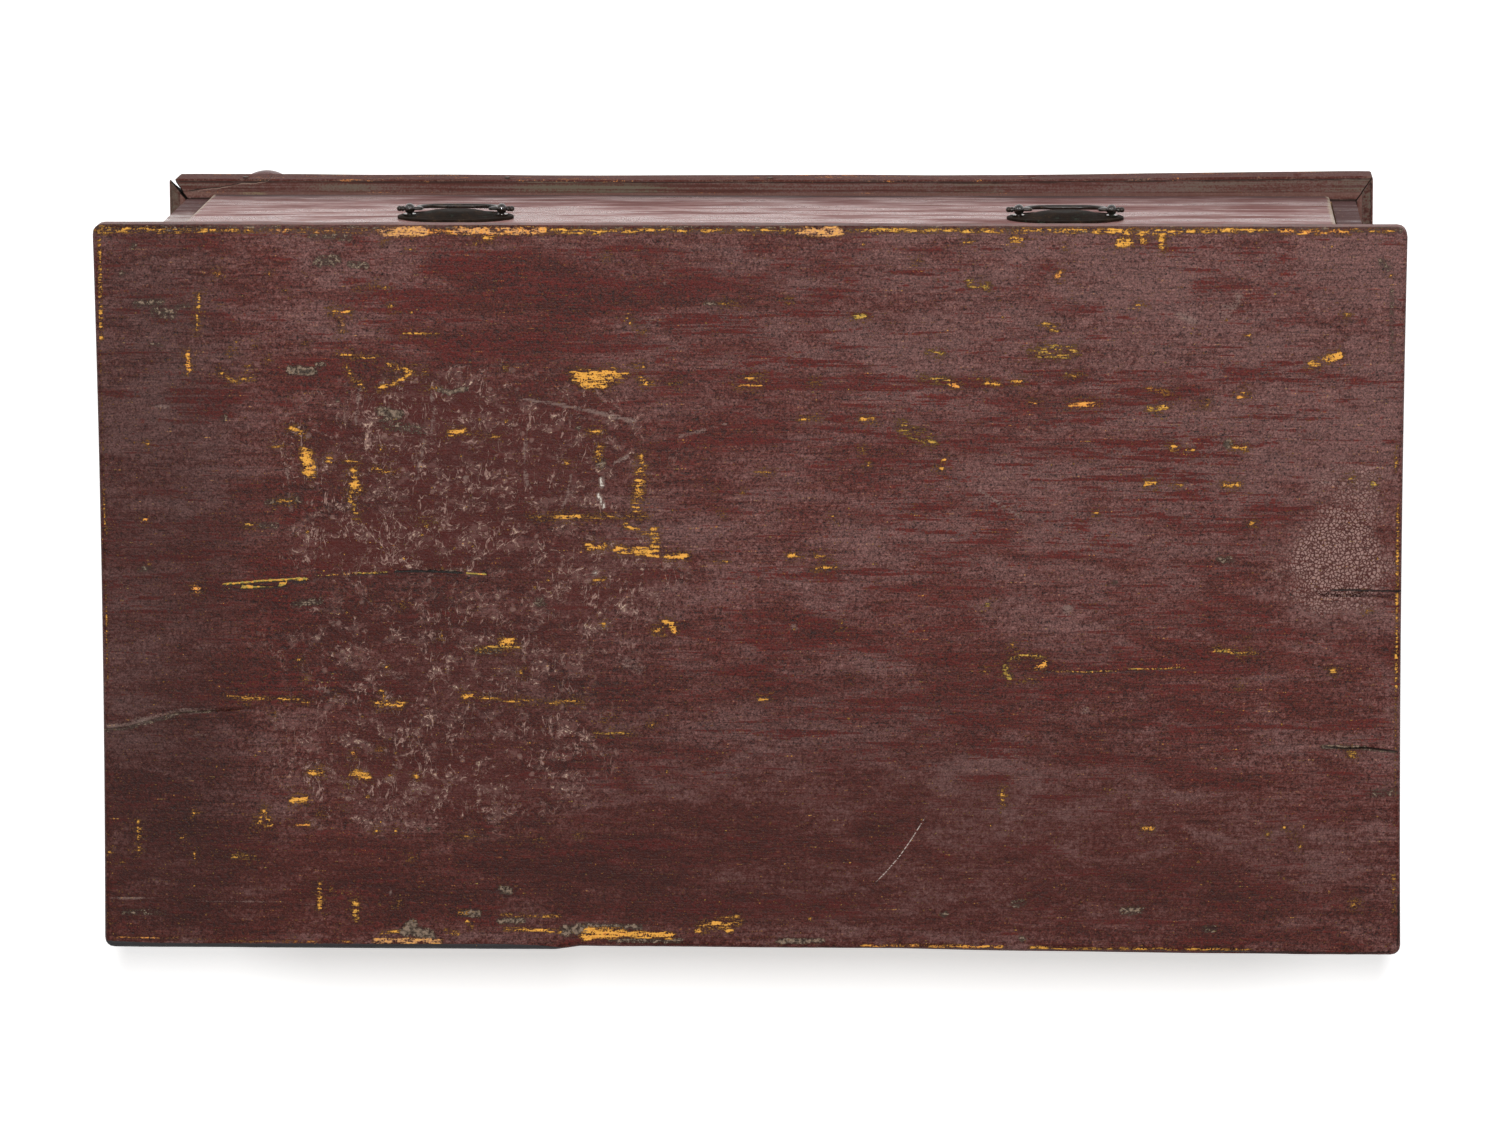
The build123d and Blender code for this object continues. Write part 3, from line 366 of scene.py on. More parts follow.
pale_marks = {
    "long_scratch": [(2.1, 0.74, 0, 525, 399, 560, 405, 600, 413, 634, 421)],
    "side_scratch": [(2.4, 0.5, 0, 680, 436, 705, 430), (1.2, 0.6, 0, 700, 430, 727, 424)],
    "diagonal_scratch": [(1.6, 0.75, 0, 978, 489, 1000, 504, 1024, 519)],
    "white_marks": [(1.7, 1.2, 0, 614, 463, 627, 457), (2.6, 1.2, 0, 601, 479, 602, 486),
        (2, 1.2, 0, 598, 495, 604, 507), (2.6, 1, 0, 595, 573), (2, 1, 0, 653, 538), (2, 1, 0, 466, 478),
        (1.6, 1, 0, 390, 893), (1.6, 1.2, 0, 1360, 699)],
    "strokes_in_veins": [(1.7, 0.6, 0, 360, 388, 357, 410, 355, 434),
        (1.8, 0.6, 0, 426, 432, 420, 462, 417, 480), (1.9, 0.58, 0, 527, 430, 524, 455, 527, 490),
        (1.7, 0.6, 0, 571, 475, 566, 500, 560, 512), (1.9, 0.56, 0, 431, 390, 434, 414, 430, 438),
        (2.2, 0.5, 0, 287, 470, 291, 512)],
    "soft_greys": [(7, 0.5, 0, 628, 664, 640, 668), (6, 0.5, 0, 1067, 610), (5, 0.5, 0, 1084, 711),
        (4, 0.5, 0, 794, 627), (8, 0.5, 0, 1224, 312, 1236, 300), (4, 0.5, 0, 988, 603),
        (3, 0.55, 0, 665, 283), (6, 0.4, 0, 1182, 314, 1196, 322), (2.4, 0.6, 0, 157, 406, 168, 407),
        (2.4, 0.6, 0, 192, 733, 206, 735), (5, 0.5, 0, 396, 677, 408, 674)],
    "left_band": [(3.4, 0.66, 0, 108, 726, 128, 724, 150, 718, 180, 712, 214, 710),
        (1.6, 0.4, 0, 112, 898, 315, 904)],
}
# Lines that are finer than the marks: how dark, how golden, then the pixels
long_crack = (316, 577, 340, 575.5, 357, 575, 395, 573.5, 433, 573.5, 462, 575, 486, 576)
crack_lines = {
    "long_crack_upper": (0.7, 1.0, (222, 586, 240, 584.5, 262, 582.5, 290, 581, 316, 578.5)),
    "long_crack_lower": (0.7, 0.9, (232, 589.5, 250, 589, 280, 587, 300, 584, 322, 580)),
    "gold_in_long_crack": (1.2, 1.0, long_crack[:8]),
    "middle_of_long_crack": (2.2, 0.0, long_crack[6:12]),
    "gold_at_its_end": (1.0, 1.0, long_crack[10:]),
    "long_crack_shadow": (1.6, 0.0, (394, 571.5, 412, 571, 433, 571, 464, 572.5)),
    "joint_crack": (1.0, 0.0, (1330, 590.5, 1350, 590, 1375, 590.8, 1402, 591.5)),
    "left_crack": (0.25, 0.0, (106, 729.5, 128, 727, 150, 721, 176, 713.5, 196, 712, 215, 711, 252, 709)),
    "grain_line": (0.3, 0.42, (1040, 672, 1090, 673.5, 1130, 671, 1190, 668.5)),
    "knot_crack": (0.9, 0.0, (1322, 746.5, 1345, 748.5, 1368, 748, 1399, 752)),
    # Painted shade: dark lines along the top's rounded rear right rim
    "painted_shade_rear_right_rim": (0.75, 0.0, (1205, 952, 1300, 953, 1360, 953.5, 1393, 952)),
    "painted_shade_right_rear_rim": (0.7, 0.0, (1397, 948, 1398.5, 930, 1398.5, 895)),
    "fine_line": (0.2, 0.4, (1212, 652, 1240, 654.5, 1270, 655)),
}
white_curve = (926, 816, 911, 840, 899, 857, 886, 872, 874, 884)
# Painted shadow: the top's paint turns dark grey past this line along its rear-left edge
painted_shadow_strip = (112, 940.5, 150, 942.5, 200, 943, 300, 943.1, 400, 943.6, 500, 943.6, 540, 945, 575, 949)
# Soft areas: strength, then the ellipse's middle and half sizes in pixels
veined_areas = {
    "upper_veins": (0.66, 465, 455, 205, 95), "ring_veins": (0.35, 420, 405, 70, 40),
    "dense_veins": (0.62, 415, 545, 140, 36), "left_dense_veins": (0.4, 350, 550, 70, 36),
    "bracket_veins": (0.5, 600, 575, 100, 50), "lower_veins": (0.42, 450, 640, 210, 60),
    "low_veins": (0.42, 440, 740, 200, 75), "lowest_veins": (0.3, 420, 800, 170, 45),
}
crazed_areas = {
    "beside_joint_crack": (1.2, 1338, 560, 42, 38), "around_it": (0.75, 1335, 570, 78, 62),
    "above_it": (0.6, 1352, 495, 50, 48),
}
bloom_areas = {
    "right_half": (0.30, 1060, 420, 420, 250), "upper_middle": (0.08, 760, 320, 230, 90),
    "far_right": (0.16, 1330, 330, 140, 160), "front_left": (0.10, 230, 330, 160, 110),
    "whole_lower_half": (-0.16, 750, 860, 800, 150), "left_low": (-0.2, 160, 850, 110, 150),
    "low_left_red": (-0.3, 300, 900, 190, 45), "veins_are_red": (-0.75, 460, 455, 220, 110),
    "lower_veins_are_red": (-0.4, 470, 640, 240, 130), "left_of_veins": (-0.2, 250, 640, 120, 110),
    "lower_left_red": (-0.30, 480, 860, 300, 70), "lower_middle_red": (-0.28, 700, 860, 260, 60),
    "lower_right_red": (-0.14, 1240, 900, 240, 50), "upper_left_red": (-0.4, 560, 290, 150, 40),
    "band_above_flakes": (-0.16, 690, 345, 150, 22),
}
shade_areas = {
    "left_column": (0.42, 150, 520, 120, 420), "upper_middle": (0.05, 760, 290, 260, 70),
    "left_low": (0.24, 170, 850, 130, 170), "low_edge": (0.1, 600, 920, 700, 60),
    "lower_half": (0.2, 700, 800, 600, 180), "veins": (0.2, 460, 560, 240, 240),
    "above_rear_edge": (0.12, 1300, 900, 240, 90),
}
calm_areas = {
    "lower_half": (0.6, 900, 850, 520, 110), "lower_left": (0.4, 250, 880, 200, 70),
    "left_column": (0.2, 150, 620, 90, 300),
}
red_streaks = {
    "middle_right": (0.26, 1080, 480, 330, 120), "upper_left": (0.24, 600, 330, 330, 120),
    "lower_right": (0.2, 1000, 690, 420, 120), "left_of_veins": (0.2, 230, 600, 130, 140),
    "right_of_flake": (0.8, 860, 382, 150, 9), "far_streak": (0.8, 1090, 378, 60, 8),
    "upper_right_streak": (0.9, 1220, 284, 36, 7), "right_streak": (0.8, 1264, 377, 36, 7),
    "middle_streak": (0.9, 800, 638, 70, 11), "lower_streak": (1.0, 1000, 748, 42, 9),
    "lower_right_streak": (0.8, 1128, 761, 90, 7), "joint_streak": (0.6, 1230, 652, 60, 9),
    "mid_right_streak": (0.7, 1180, 446, 70, 8), "upper_streak": (1.0, 590, 290, 110, 12),
    "above_it": (0.9, 470, 268, 50, 16), "right_low_streak": (0.7, 1215, 523, 70, 7),
    "left_dark_streak": (1.0, 205, 396, 40, 24), "streak_by_ring": (0.9, 400, 300, 90, 14),
    "lower_streak_left": (0.9, 640, 845, 70, 8), "left_low_streak": (0.9, 300, 560, 60, 22),
    "right_band": (0.8, 1320, 378, 60, 9), "over_dashes": (0.8, 1100, 398, 50, 9),
    "under_flake": (0.8, 560, 345, 90, 9), "low_band": (0.8, 760, 905, 160, 12),
    "low_left_band": (0.8, 330, 690, 110, 16),
}
spatter_reach = 9


def strokes_in(groups):
    """Each stroke's half width in pixels, strength, hue and line on the top."""
    for group in groups:
        for strokes in group.values():
            for half_width, strength, hue, *pixels in strokes:
                yield half_width, strength, hue, line_on_top(pixels)


def near_line(places, line, reach):
    """The rows of the places that may lie within reach of a line."""
    return np.flatnonzero((np.abs(places - line.mean(0)) < np.ptp(line, axis=0) / 2 + reach).all(1))


def add_marks(places, groups):
    """The strength and the hue that groups of marks give at each place on the top."""
    strength, hue = np.zeros(len(places)), np.zeros(len(places))
    for half_width, full, mark_hue, line in strokes_in(groups):
        reach = half_width * pixel_on_top
        found = near_line(places, line, 3 * reach)
        distance = np.abs(from_line(places[found], line)[0]) / reach
        value = full * np.clip(1.5 - distance, 0, 1)
        better = value > strength[found]
        strength[found[better]] = value[better]
        hue[found[better]] = mark_hue
    return strength, hue


def spatter_round(places, groups):
    """How near each place is to a mark, for the flecks and stains round it."""
    nearness = np.zeros(len(places))
    for half_width, full, _, line in strokes_in(groups):
        reach = (half_width + spatter_reach) * pixel_on_top
        found = near_line(places, line, reach)
        distance = np.abs(from_line(places[found], line)[0]) / reach
        nearness[found] = np.maximum(nearness[found], min(1.0, full) * np.clip(1 - distance, 0, 1))
    return nearness


def add_areas(places, areas):
    """The sum of soft elliptical areas at each place on the top."""
    total = np.zeros(len(places))
    for strength, across, down, half_across, half_down in areas.values():
        middle = on_level([(across, down)], top_z)[0]
        offset = (places - middle) / (np.array([half_across, half_down]) * pixel_on_top)
        total += strength * fade(-np.hypot(offset[:, 0], offset[:, 1]), -1.25, -0.35)
    return total


def crack_values(places):
    """The signed distance to the nearest crack line in metres, and how dark and how golden it is there."""
    gap, dark, gold = np.full(len(places), 9.0), np.zeros(len(places)), np.zeros(len(places))
    for line_dark, line_gold, pixels in crack_lines.values():
        signed, along = from_line(places, line_on_top(pixels))
        nearer = np.abs(signed) < np.abs(gap)
        near = (1 - fade(np.abs(signed), 3 * mm, 6 * mm)) * between(along, 0, 1, 0, 0.03)
        gap[nearer] = signed[nearer]
        dark[nearer] = (line_dark * near)[nearer]
        gold[nearer] = (line_gold * near)[nearer]
    return gap, dark, gold


# The top: two boards with a fine grid, so that the wear, cracks and marks lie in the surface

top_cell = 2.25 * mm
arris_round, lower_round, plan_corner = 4.0 * mm, 2.5 * mm, 8.0 * mm
arris_steps = 5
edge_steps = 5
face_x, face_y = top_half_x - arris_round, top_half_y - arris_round
corner_inset = plan_corner - arris_round
side_bow = {-1: 2.3 * mm, 1: 2.5 * mm}
# How far, in pixels, the rear edge is worn in at a pixel across
rear_losses = ((555, 0), (580, 3.6), (900, 3.2), (1000, 1.8), (1200, 0.4), (1300, 0))
rear_edge_pixel = 948
rim_wander = 0.18 * mm
edge_wear = (front_edge_wear, rear_edge_wear, side_edge_wear)

crack_depth, crack_half_width = 0.9 * mm, 0.8 * mm
wind_depth, dent_depth, vein_depth = 0.35 * mm, 0.12 * mm, 0.3 * mm
wind_size, dent_size, ridge_size = (0.35, 0.16, 1), (0.09, 0.012, 1), (0.007, 0.009, 1)
wear_size, chip_size, wander_size = 0.045, 0.006, 0.06
rear_band, rim_band, rim_inner = 0.03, 0.02, 0.004
arris_sink, edge_wear_share, lower_wear_share = 0.35, 0.12, 0.2
top_sharp_angle, moulding_sharp_angle, handle_sharp_angle = 40, 32, 50
pulled_rows, close_rows, full_rows = 9, 5, 3
groove_lines = [crack_lines[name][2] for name in ("joint_crack", "left_crack", "knot_crack")] + [long_crack]
grooves = [line[np.argsort(line[:, 0])] for line in map(line_on_top, groove_lines)]


def pull_rows(xs, row_y, board_side):
    """Rows of the grid bent to run along the cracks, with close rows on both sides of each."""
    y = np.repeat(row_y[:, None], len(xs), axis=1)
    for points in grooves:
        middle = points[:, 1].mean()
        if middle * board_side <= 3 * mm:
            continue
        row = np.abs(row_y - middle).argmin()
        path = np.interp(xs, points[:, 0], points[:, 1])
        inside = between(xs, points[0, 0], points[-1, 0], 0.03, 0)
        for step in range(-pulled_rows, pulled_rows + 1):
            if not 1 < row + step < len(row_y) - 2:
                continue
            spaced = np.sign(step) * max(abs(step) - 1.6, 0.35 * abs(step)) * top_cell
            share = 1 - fade(abs(step), full_rows, pulled_rows)
            goal = path + (spaced if abs(step) < close_rows else step * top_cell)
            y[row + step] += inside * share * (goal - y[row + step])
    return y


def top_heights(places):
    """How far the upper face lies below the board's full height: wind, dents and grooves."""
    flat = np.c_[places, np.zeros(len(places))]
    low = wind_depth * (1 + smooth_noise(flat, wind_size, 11)) / 2
    low += dent_depth * (1 + smooth_noise(flat, dent_size, 12)) / 2
    veins = np.clip(add_areas(places, veined_areas), 0, 1)
    low += vein_depth * veins * (1 + smooth_noise(flat, ridge_size, 13, 2)) / 2
    for points in grooves:
        signed, _ = from_line(places, points)
        ends = between(places[:, 0], points[0, 0], points[-1, 0], 0.01, 0.02)
        low += crack_depth * ends * np.clip(1 - np.abs(signed) / crack_half_width, 0, 1)
    return low


def round_plan(x, y, board_side):
    """Rounds a face's outer corners: its places held inside them, the way out, and the new places."""
    held_x = np.clip(x, corner_inset - face_x, face_x - corner_inset)
    held_y = board_side * np.minimum(board_side * y, face_y - corner_inset)
    held = np.stack([held_x, held_y], axis=-1)
    off = np.stack([x, y], axis=-1) - held
    length = np.hypot(off[..., 0], off[..., 1])[..., None]
    outward = np.where(length > 0, off / np.maximum(length, 1e-12), 0)
    face = held + outward * np.abs(off).max(-1)[..., None]
    return held.reshape(-1, 2), outward.reshape(-1, 2), face.reshape(-1, 2)


def edge_rings():
    """Rings round the upper arris, down the edge and under the board: inset, drop and share of the wear."""
    angles = np.linspace(0, math.pi / 2, arris_steps + 1)
    rings = []
    for a in angles[1:]:
        rings.append((arris_round * (1 - math.sin(a)), arris_round * (1 - math.cos(a)), math.sin(2 * a)))
    for drop in np.linspace(arris_round, top_thickness - lower_round, edge_steps)[1:]:
        rings.append((0, drop, edge_wear_share))
    for a in angles[1::2]:
        drop = top_thickness - lower_round * (1 - math.sin(a))
        rings.append((lower_round * (1 - math.cos(a)), drop, lower_wear_share * math.sin(2 * a)))
    return rings + [(lower_round, top_thickness, 0)]


def arris_wear(rim, joint):
    """How far the arris is worn back at each place round the face, but not along the boards' joint."""
    places = np.c_[rim, np.zeros(len(rim))]
    wear = 0.35 + 0.5 * smooth_noise(places, wear_size, 21, 3)
    wear += 0.35 * smooth_noise(places, chip_size, 22, 2)
    hard = add_marks(rim, edge_wear)[0]
    return np.where(joint, 0, np.clip(wear, 0, 1.4) * 0.5 + hard * 0.8) * mm


def bend_outline(vertices):
    """The board in plan with bowed ends, a rear edge that is worn in and a rim that wanders."""
    flat = vertices[:, :2].copy()
    middle_share = 1 - (vertices[:, 1] / top_half_y) ** 2
    for side, bow in side_bow.items():
        on_side = np.clip(side * vertices[:, 0] / top_half_x, 0, 1)
        flat[:, 0] -= side * bow * middle_share * on_side**3
    across, losses = np.transpose(rear_losses)
    stations = on_level(np.c_[across, np.full(len(across), rear_edge_pixel)], top_z)[::-1, 0]
    worn_in = np.interp(vertices[:, 0], stations, losses[::-1]) * pixel_on_top
    flat[:, 1] -= worn_in * fade(vertices[:, 1], top_half_y - rear_band, top_half_y - rim_inner)
    wander = rim_wander * np.maximum(0.1, 1 + smooth_noise(np.c_[flat, vertices[:, 2]], wander_size, 31, 2))
    rim = fade(np.abs(flat[:, 1]), top_half_y - rim_band, top_half_y - rim_inner)
    flat[:, 1] -= np.sign(flat[:, 1]) * rim * wander
    return flat


def board_vertices(grid_x, grid_y, loop, board_side):
    """The upper face's vertices, then those of the rings that run down from its rim."""
    held, outward, face = round_plan(grid_x, grid_y, board_side)
    joint = np.abs(outward[loop]).max(1) == 0
    wear = arris_wear(face[loop], joint)
    rings = edge_rings()
    rows = [np.c_[face, np.full(len(face), top_z)]]
    for inset, drop, worn in rings:
        reach = np.where(joint, 0, plan_corner - inset - worn * wear)
        ring = held[loop] + outward[loop] * reach[:, None]
        rows.append(np.c_[ring, top_z - drop - worn * wear * (drop < top_thickness / 2)])
    vertices = np.concatenate(rows)
    vertices[:, :2] = bend_outline(vertices)
    drop = top_heights(vertices[: len(face), :2])
    drop[loop] += arris_sink * wear
    vertices[: len(face), 2] -= drop
    rim_drop = top_heights(vertices[loop, :2])
    for number, (_, ring_drop, _) in enumerate(rings):
        start = len(face) + number * len(loop)
        vertices[start : start + len(loop), 2] -= max(0.0, 1 - ring_drop / (2 * arris_round)) * rim_drop
    return vertices


def board_faces(index, loop, vertex_count, board_side):
    """The upper face's quads, the edge's and one face underneath."""
    corners = [index[:-1, :-1], index[:-1, 1:], index[1:, 1:], index[1:, :-1]]
    quads = np.stack(corners, axis=-1).reshape(-1, 4)
    rings = np.vstack([loop, np.arange(index.size, vertex_count).reshape(-1, len(loop))])
    faces = np.concatenate([quads, ring_faces(rings)])
    if board_side < 0:
        return faces[:, ::-1].tolist() + [rings[-1].tolist()]
    return faces.tolist() + [rings[-1, ::-1].tolist()]


def store_marks(mesh, vertices):
    """Keeps what the top's paint needs to know at each vertex."""
    places = vertices[:, :2]
    on_top = 1 - fade(top_z - vertices[:, 2], 5 * mm, 12 * mm)
    bare, hue = add_marks(places, [primer_marks, *edge_wear])
    gap, dark, gold = crack_values(places)
    scratch, along = from_line(places, line_on_top(white_curve))
    scratched = (1 - fade(np.abs(scratch), 3 * mm, 6 * mm)) * fade(along, 0, 0.1) * fade(-along, -1, -0.85)
    strip = line_on_top(painted_shadow_strip)[::-1]
    beyond_strip = places[:, 1] - np.interp(places[:, 0], strip[:, 0], strip[:, 1], left=1.0)
    values = {
        "bare": bare * on_top, "hue": hue, "spatter": spatter_round(places, [primer_marks]),
        "coat": add_marks(places, [coat_marks])[0] * on_top,
        "pale": add_marks(places, [pale_marks])[0] * on_top,
        "gap": gap / mm, "gap_dark": dark, "gap_gold": gold,
        "scratch": scratch / mm, "scratched": scratched, "painted_shadow_strip": beyond_strip / mm,
        "vein": np.clip(add_areas(places, veined_areas), 0, 1.4),
        "craze": np.clip(add_areas(places, crazed_areas), 0, 1.4),
        "bloom": add_areas(places, bloom_areas), "streak": add_areas(places, red_streaks),
        "shade": np.clip(add_areas(places, shade_areas), 0, 0.5),
        "calm": np.clip(add_areas(places, calm_areas), 0, 0.8),
    }
    for name, numbers in values.items():
        store(mesh, name, numbers)


def make_top_board(name, board_side):
    """One of the two boards; board_side is -1 for the front one and 1 for the rear one."""
    xs = np.linspace(-face_x, face_x, round(2 * face_x / top_cell) + 1)
    row_y = board_side * np.linspace(0, face_y, round(face_y / top_cell) + 1)
    grid_y = pull_rows(xs, row_y, board_side)
    grid_x = np.repeat(xs[None, :], len(row_y), axis=0)
    index = np.arange(grid_x.size).reshape(grid_x.shape)
    loop = np.r_[index[0], index[1:, -1], index[-1, -2::-1], index[-2:0:-1, 0]]
    vertices = board_vertices(grid_x, grid_y, loop, board_side)
    mesh = bpy.data.meshes.new(name)
    mesh.from_pydata(vertices.tolist(), [], board_faces(index, loop, len(vertices), board_side))
    board = link_mesh(name, mesh, top_sharp_angle, flat_face=len(mesh.polygons) - 1)
    store_marks(mesh, vertices)
    return board


# Materials

oxblood_dark, oxblood, deep_red = (58, 19, 13), (81, 34, 27), (82, 25, 21)
bloom_mauve, ridge_dust_and_highlight, cream_white = (112, 87, 87), (160, 128, 118), (196, 172, 146)
primer_gold, primer_orange, primer_green = (214, 152, 62), (224, 142, 68), (146, 128, 58)
primer_brown, bare_tan = (76, 46, 24), (186, 134, 92)
dark_green, near_black = (44, 38, 28), (22, 15, 12)
top_tint = (0.85, 0.68, 0.61)


def linear(colour):
    """A colour as it reads on the screen, from 0 to 255, as the value that a shader takes."""
    shares = [c / 255 for c in colour]
    return tuple(s / 12.92 if s < 0.0404 else ((s + 0.055) / 1.055) ** 2.4 for s in shares) + (1.0,)


class Nodes:
    """Shader nodes. Each method adds some and gives back an output to build on."""

    def __init__(self, tree):
        self.tree = tree
        tree.nodes.clear()

    def node(self, kind, inputs=(), **settings):
        made = self.tree.nodes.new(kind)
        for name, value in settings.items():
            setattr(made, name, value)
        for key, value in dict(inputs).items():
            if isinstance(value, bpy.types.NodeSocket):
                self.tree.links.new(value, made.inputs[key])
            else:
                made.inputs[key].default_value = value
        return made

    def math(self, operation, *values, clamp=False):
        made = self.node("ShaderNodeMath", enumerate(values), operation=operation, use_clamp=clamp)
        return made.outputs[0]

    def vector(self, operation, first, second):
        return self.node("ShaderNodeVectorMath", {0: first, 1: second}, operation=operation).outputs[0]

    def scaled(self, vector, scale):
        return self.node("ShaderNodeVectorMath", {0: vector, "Scale": scale}, operation="SCALE").outputs[0]

    def product(self, first, *others):
        for value in others:
            first = self.math("MULTIPLY", first, value)
        return first

    def most(self, first, *others):
        for value in others:
            first = self.math("MAXIMUM", first, value)
        return first

    def sum(self, first, *terms):
        """first plus each (value, factor) pair."""
        for value, factor in terms:
            first = self.math("MULTIPLY_ADD", value, factor, first)
        return first

    def away(self, value, middle=0.0):
        """How far a value is from a middle one."""
        return self.math("ABSOLUTE", self.math("SUBTRACT", value, middle))

    def ease(self, value, low, high, start=0.0, end=1.0):
        """A smooth step from start, where the value is low, to end, where it is high."""
        values = {0: value, 1: low, 2: high, 3: start, 4: end}
        return self.node("ShaderNodeMapRange", values, interpolation_type="SMOOTHSTEP").outputs[0]

    def seen_directly(self):
        """1 for the camera's rays and for those that metal and glass send on."""
        rays = self.node("ShaderNodeLightPath").outputs
        return self.most(rays["Is Camera Ray"], rays["Is Glossy Ray"], rays["Is Transmission Ray"])

    def end(self, kind, surface):
        self.tree.links.new(surface, self.node(kind).inputs["Surface"])


class Finish(Nodes):
    """One material: its base colour, roughness and height in metres, built up layer by layer."""

    def __init__(self, name):
        self.material = bpy.data.materials.new(name)
        self.material.use_nodes = True
        super().__init__(self.material.node_tree)
        self.place = self.node("ShaderNodeTexCoord").outputs["Object"]
        self.where = self.node("ShaderNodeSeparateXYZ", {0: self.place}).outputs

    def at(self, size, shift):
        """The place in units of a feature's size on each axis, in metres."""
        size = (size,) * 3 if isinstance(size, float) else size
        scaled = self.vector("MULTIPLY", self.place, [1 / s for s in size])
        return self.vector("ADD", scaled, (shift, shift * 0.7, shift * 1.3))

    def noise(self, size, shift, detail=2.0, rough=0.5, bend=0.0):
        values = {"Vector": self.at(size, shift), "Scale": 1.0, "Detail": detail}
        values.update({"Roughness": rough, "Distortion": bend})
        return self.node("ShaderNodeTexNoise", values).outputs["Fac"]

    def grain(self, size, shift, detail=2.0, bend=0.0):
        """Noise round zero, mostly between -1 and 1."""
        return self.product(self.math("SUBTRACT", self.noise(size, shift, detail, 0.55, bend), 0.5), 8.0)

    def grains(self, **wanted):
        """Keeps grains under names of their own."""
        for name, values in wanted.items():
            setattr(self, name, self.grain(*values))

    def cells(self, size, shift, warp=0.0, feature="DISTANCE_TO_EDGE"):
        vector = self.at(size, shift)
        if warp:
            swirl = self.node("ShaderNodeTexNoise", {"Vector": vector, "Scale": 1.3, "Detail": 2.0})
            vector = self.vector("ADD", vector, self.scaled(swirl.outputs["Color"], warp))
        made = self.node("ShaderNodeTexVoronoi", {"Vector": vector, "Scale": 1.0}, feature=feature)
        return made.outputs["Distance"]

    def named(self, name):
        return self.node("ShaderNodeAttribute", attribute_name=name).outputs["Fac"]

    def mix(self, share, first, second):
        """One colour or socket mixed with another."""
        made = self.node("ShaderNodeMix", {0: share}, data_type="RGBA")
        for socket, value in ((made.inputs[6], first), (made.inputs[7], second)):
            if isinstance(value, bpy.types.NodeSocket):
                self.tree.links.new(value, socket)
            else:
                socket.default_value = linear(value)
        return made.outputs[2]

    def cover(self, share, colour):
        """Covers the base colour with another by a share."""
        self.base = self.mix(share, self.base, colour)

    def done(self, **constants):
        """Ends the material."""
        bump = self.node("ShaderNodeBump", {"Height": self.height, "Strength": 1.0, "Distance": 1.0})
        values = {"Base Color": self.base, "Roughness": self.rough, "Normal": bump.outputs[0], **constants}
        self.end("ShaderNodeOutputMaterial", self.node("ShaderNodeBsdfPrincipled", values).outputs[0])
        return self.material


def lay_oxblood(look):
    """The top's paint: bloom over oxblood, red streaks, fine crackle and grit."""
    bloom = look.sum(0.5, (look.named("bloom"), 0.8), (look.broad, 0.14), (look.streaky, 0.14))
    bloom = look.sum(bloom, (look.patch, 0.12), (look.blotch, 0.2))
    torn = look.ease(
        look.sum(0.0, (look.thin, 0.7), (look.fine, 0.5), (look.streaky, 0.3)), -0.9, 0.9, 0.05, 1.25
    )
    streak = look.product(look.named("streak"), torn)
    look.bloom = look.sum(bloom, (look.thin, 0.08), (look.speck, 0.08), (look.fine, 0.2), (streak, -0.4))
    look.base = look.mix(look.ease(look.bloom, -0.4, 0.45), oxblood_dark, oxblood)
    look.cover(look.ease(look.bloom, 0.14, 0.98), bloom_mauve)
    red = look.sum(streak, (look.streaky, 0.42), (look.thin, 0.24), (look.blotch, -0.16))
    red = look.sum(red, (look.patch, 0.14), (look.fine, 0.18), (look.speck, 0.08))
    look.cover(look.ease(red, 0.36, 0.64, 0.0, 0.95), deep_red)
    look.crackle = look.ease(look.cells(0.0028, 6.0, 0.6), 0.02, 0.14, 1.0, 0.0)
    look.cover(look.product(look.crackle, 0.4), oxblood_dark)
    grit = look.sum(0.0, (look.speck, 0.44), (look.fine, 0.18), (look.fibre, 0.16), (look.thin, 0.08))
    grit = look.product(grit, look.math("SUBTRACT", 1.0, look.named("calm")))
    look.base = look.scaled(look.base, look.math("ADD", 1.0, grit))
    look.cover(look.named("shade"), (30, 18, 16))
    look.base = look.vector("MULTIPLY", look.base, top_tint)


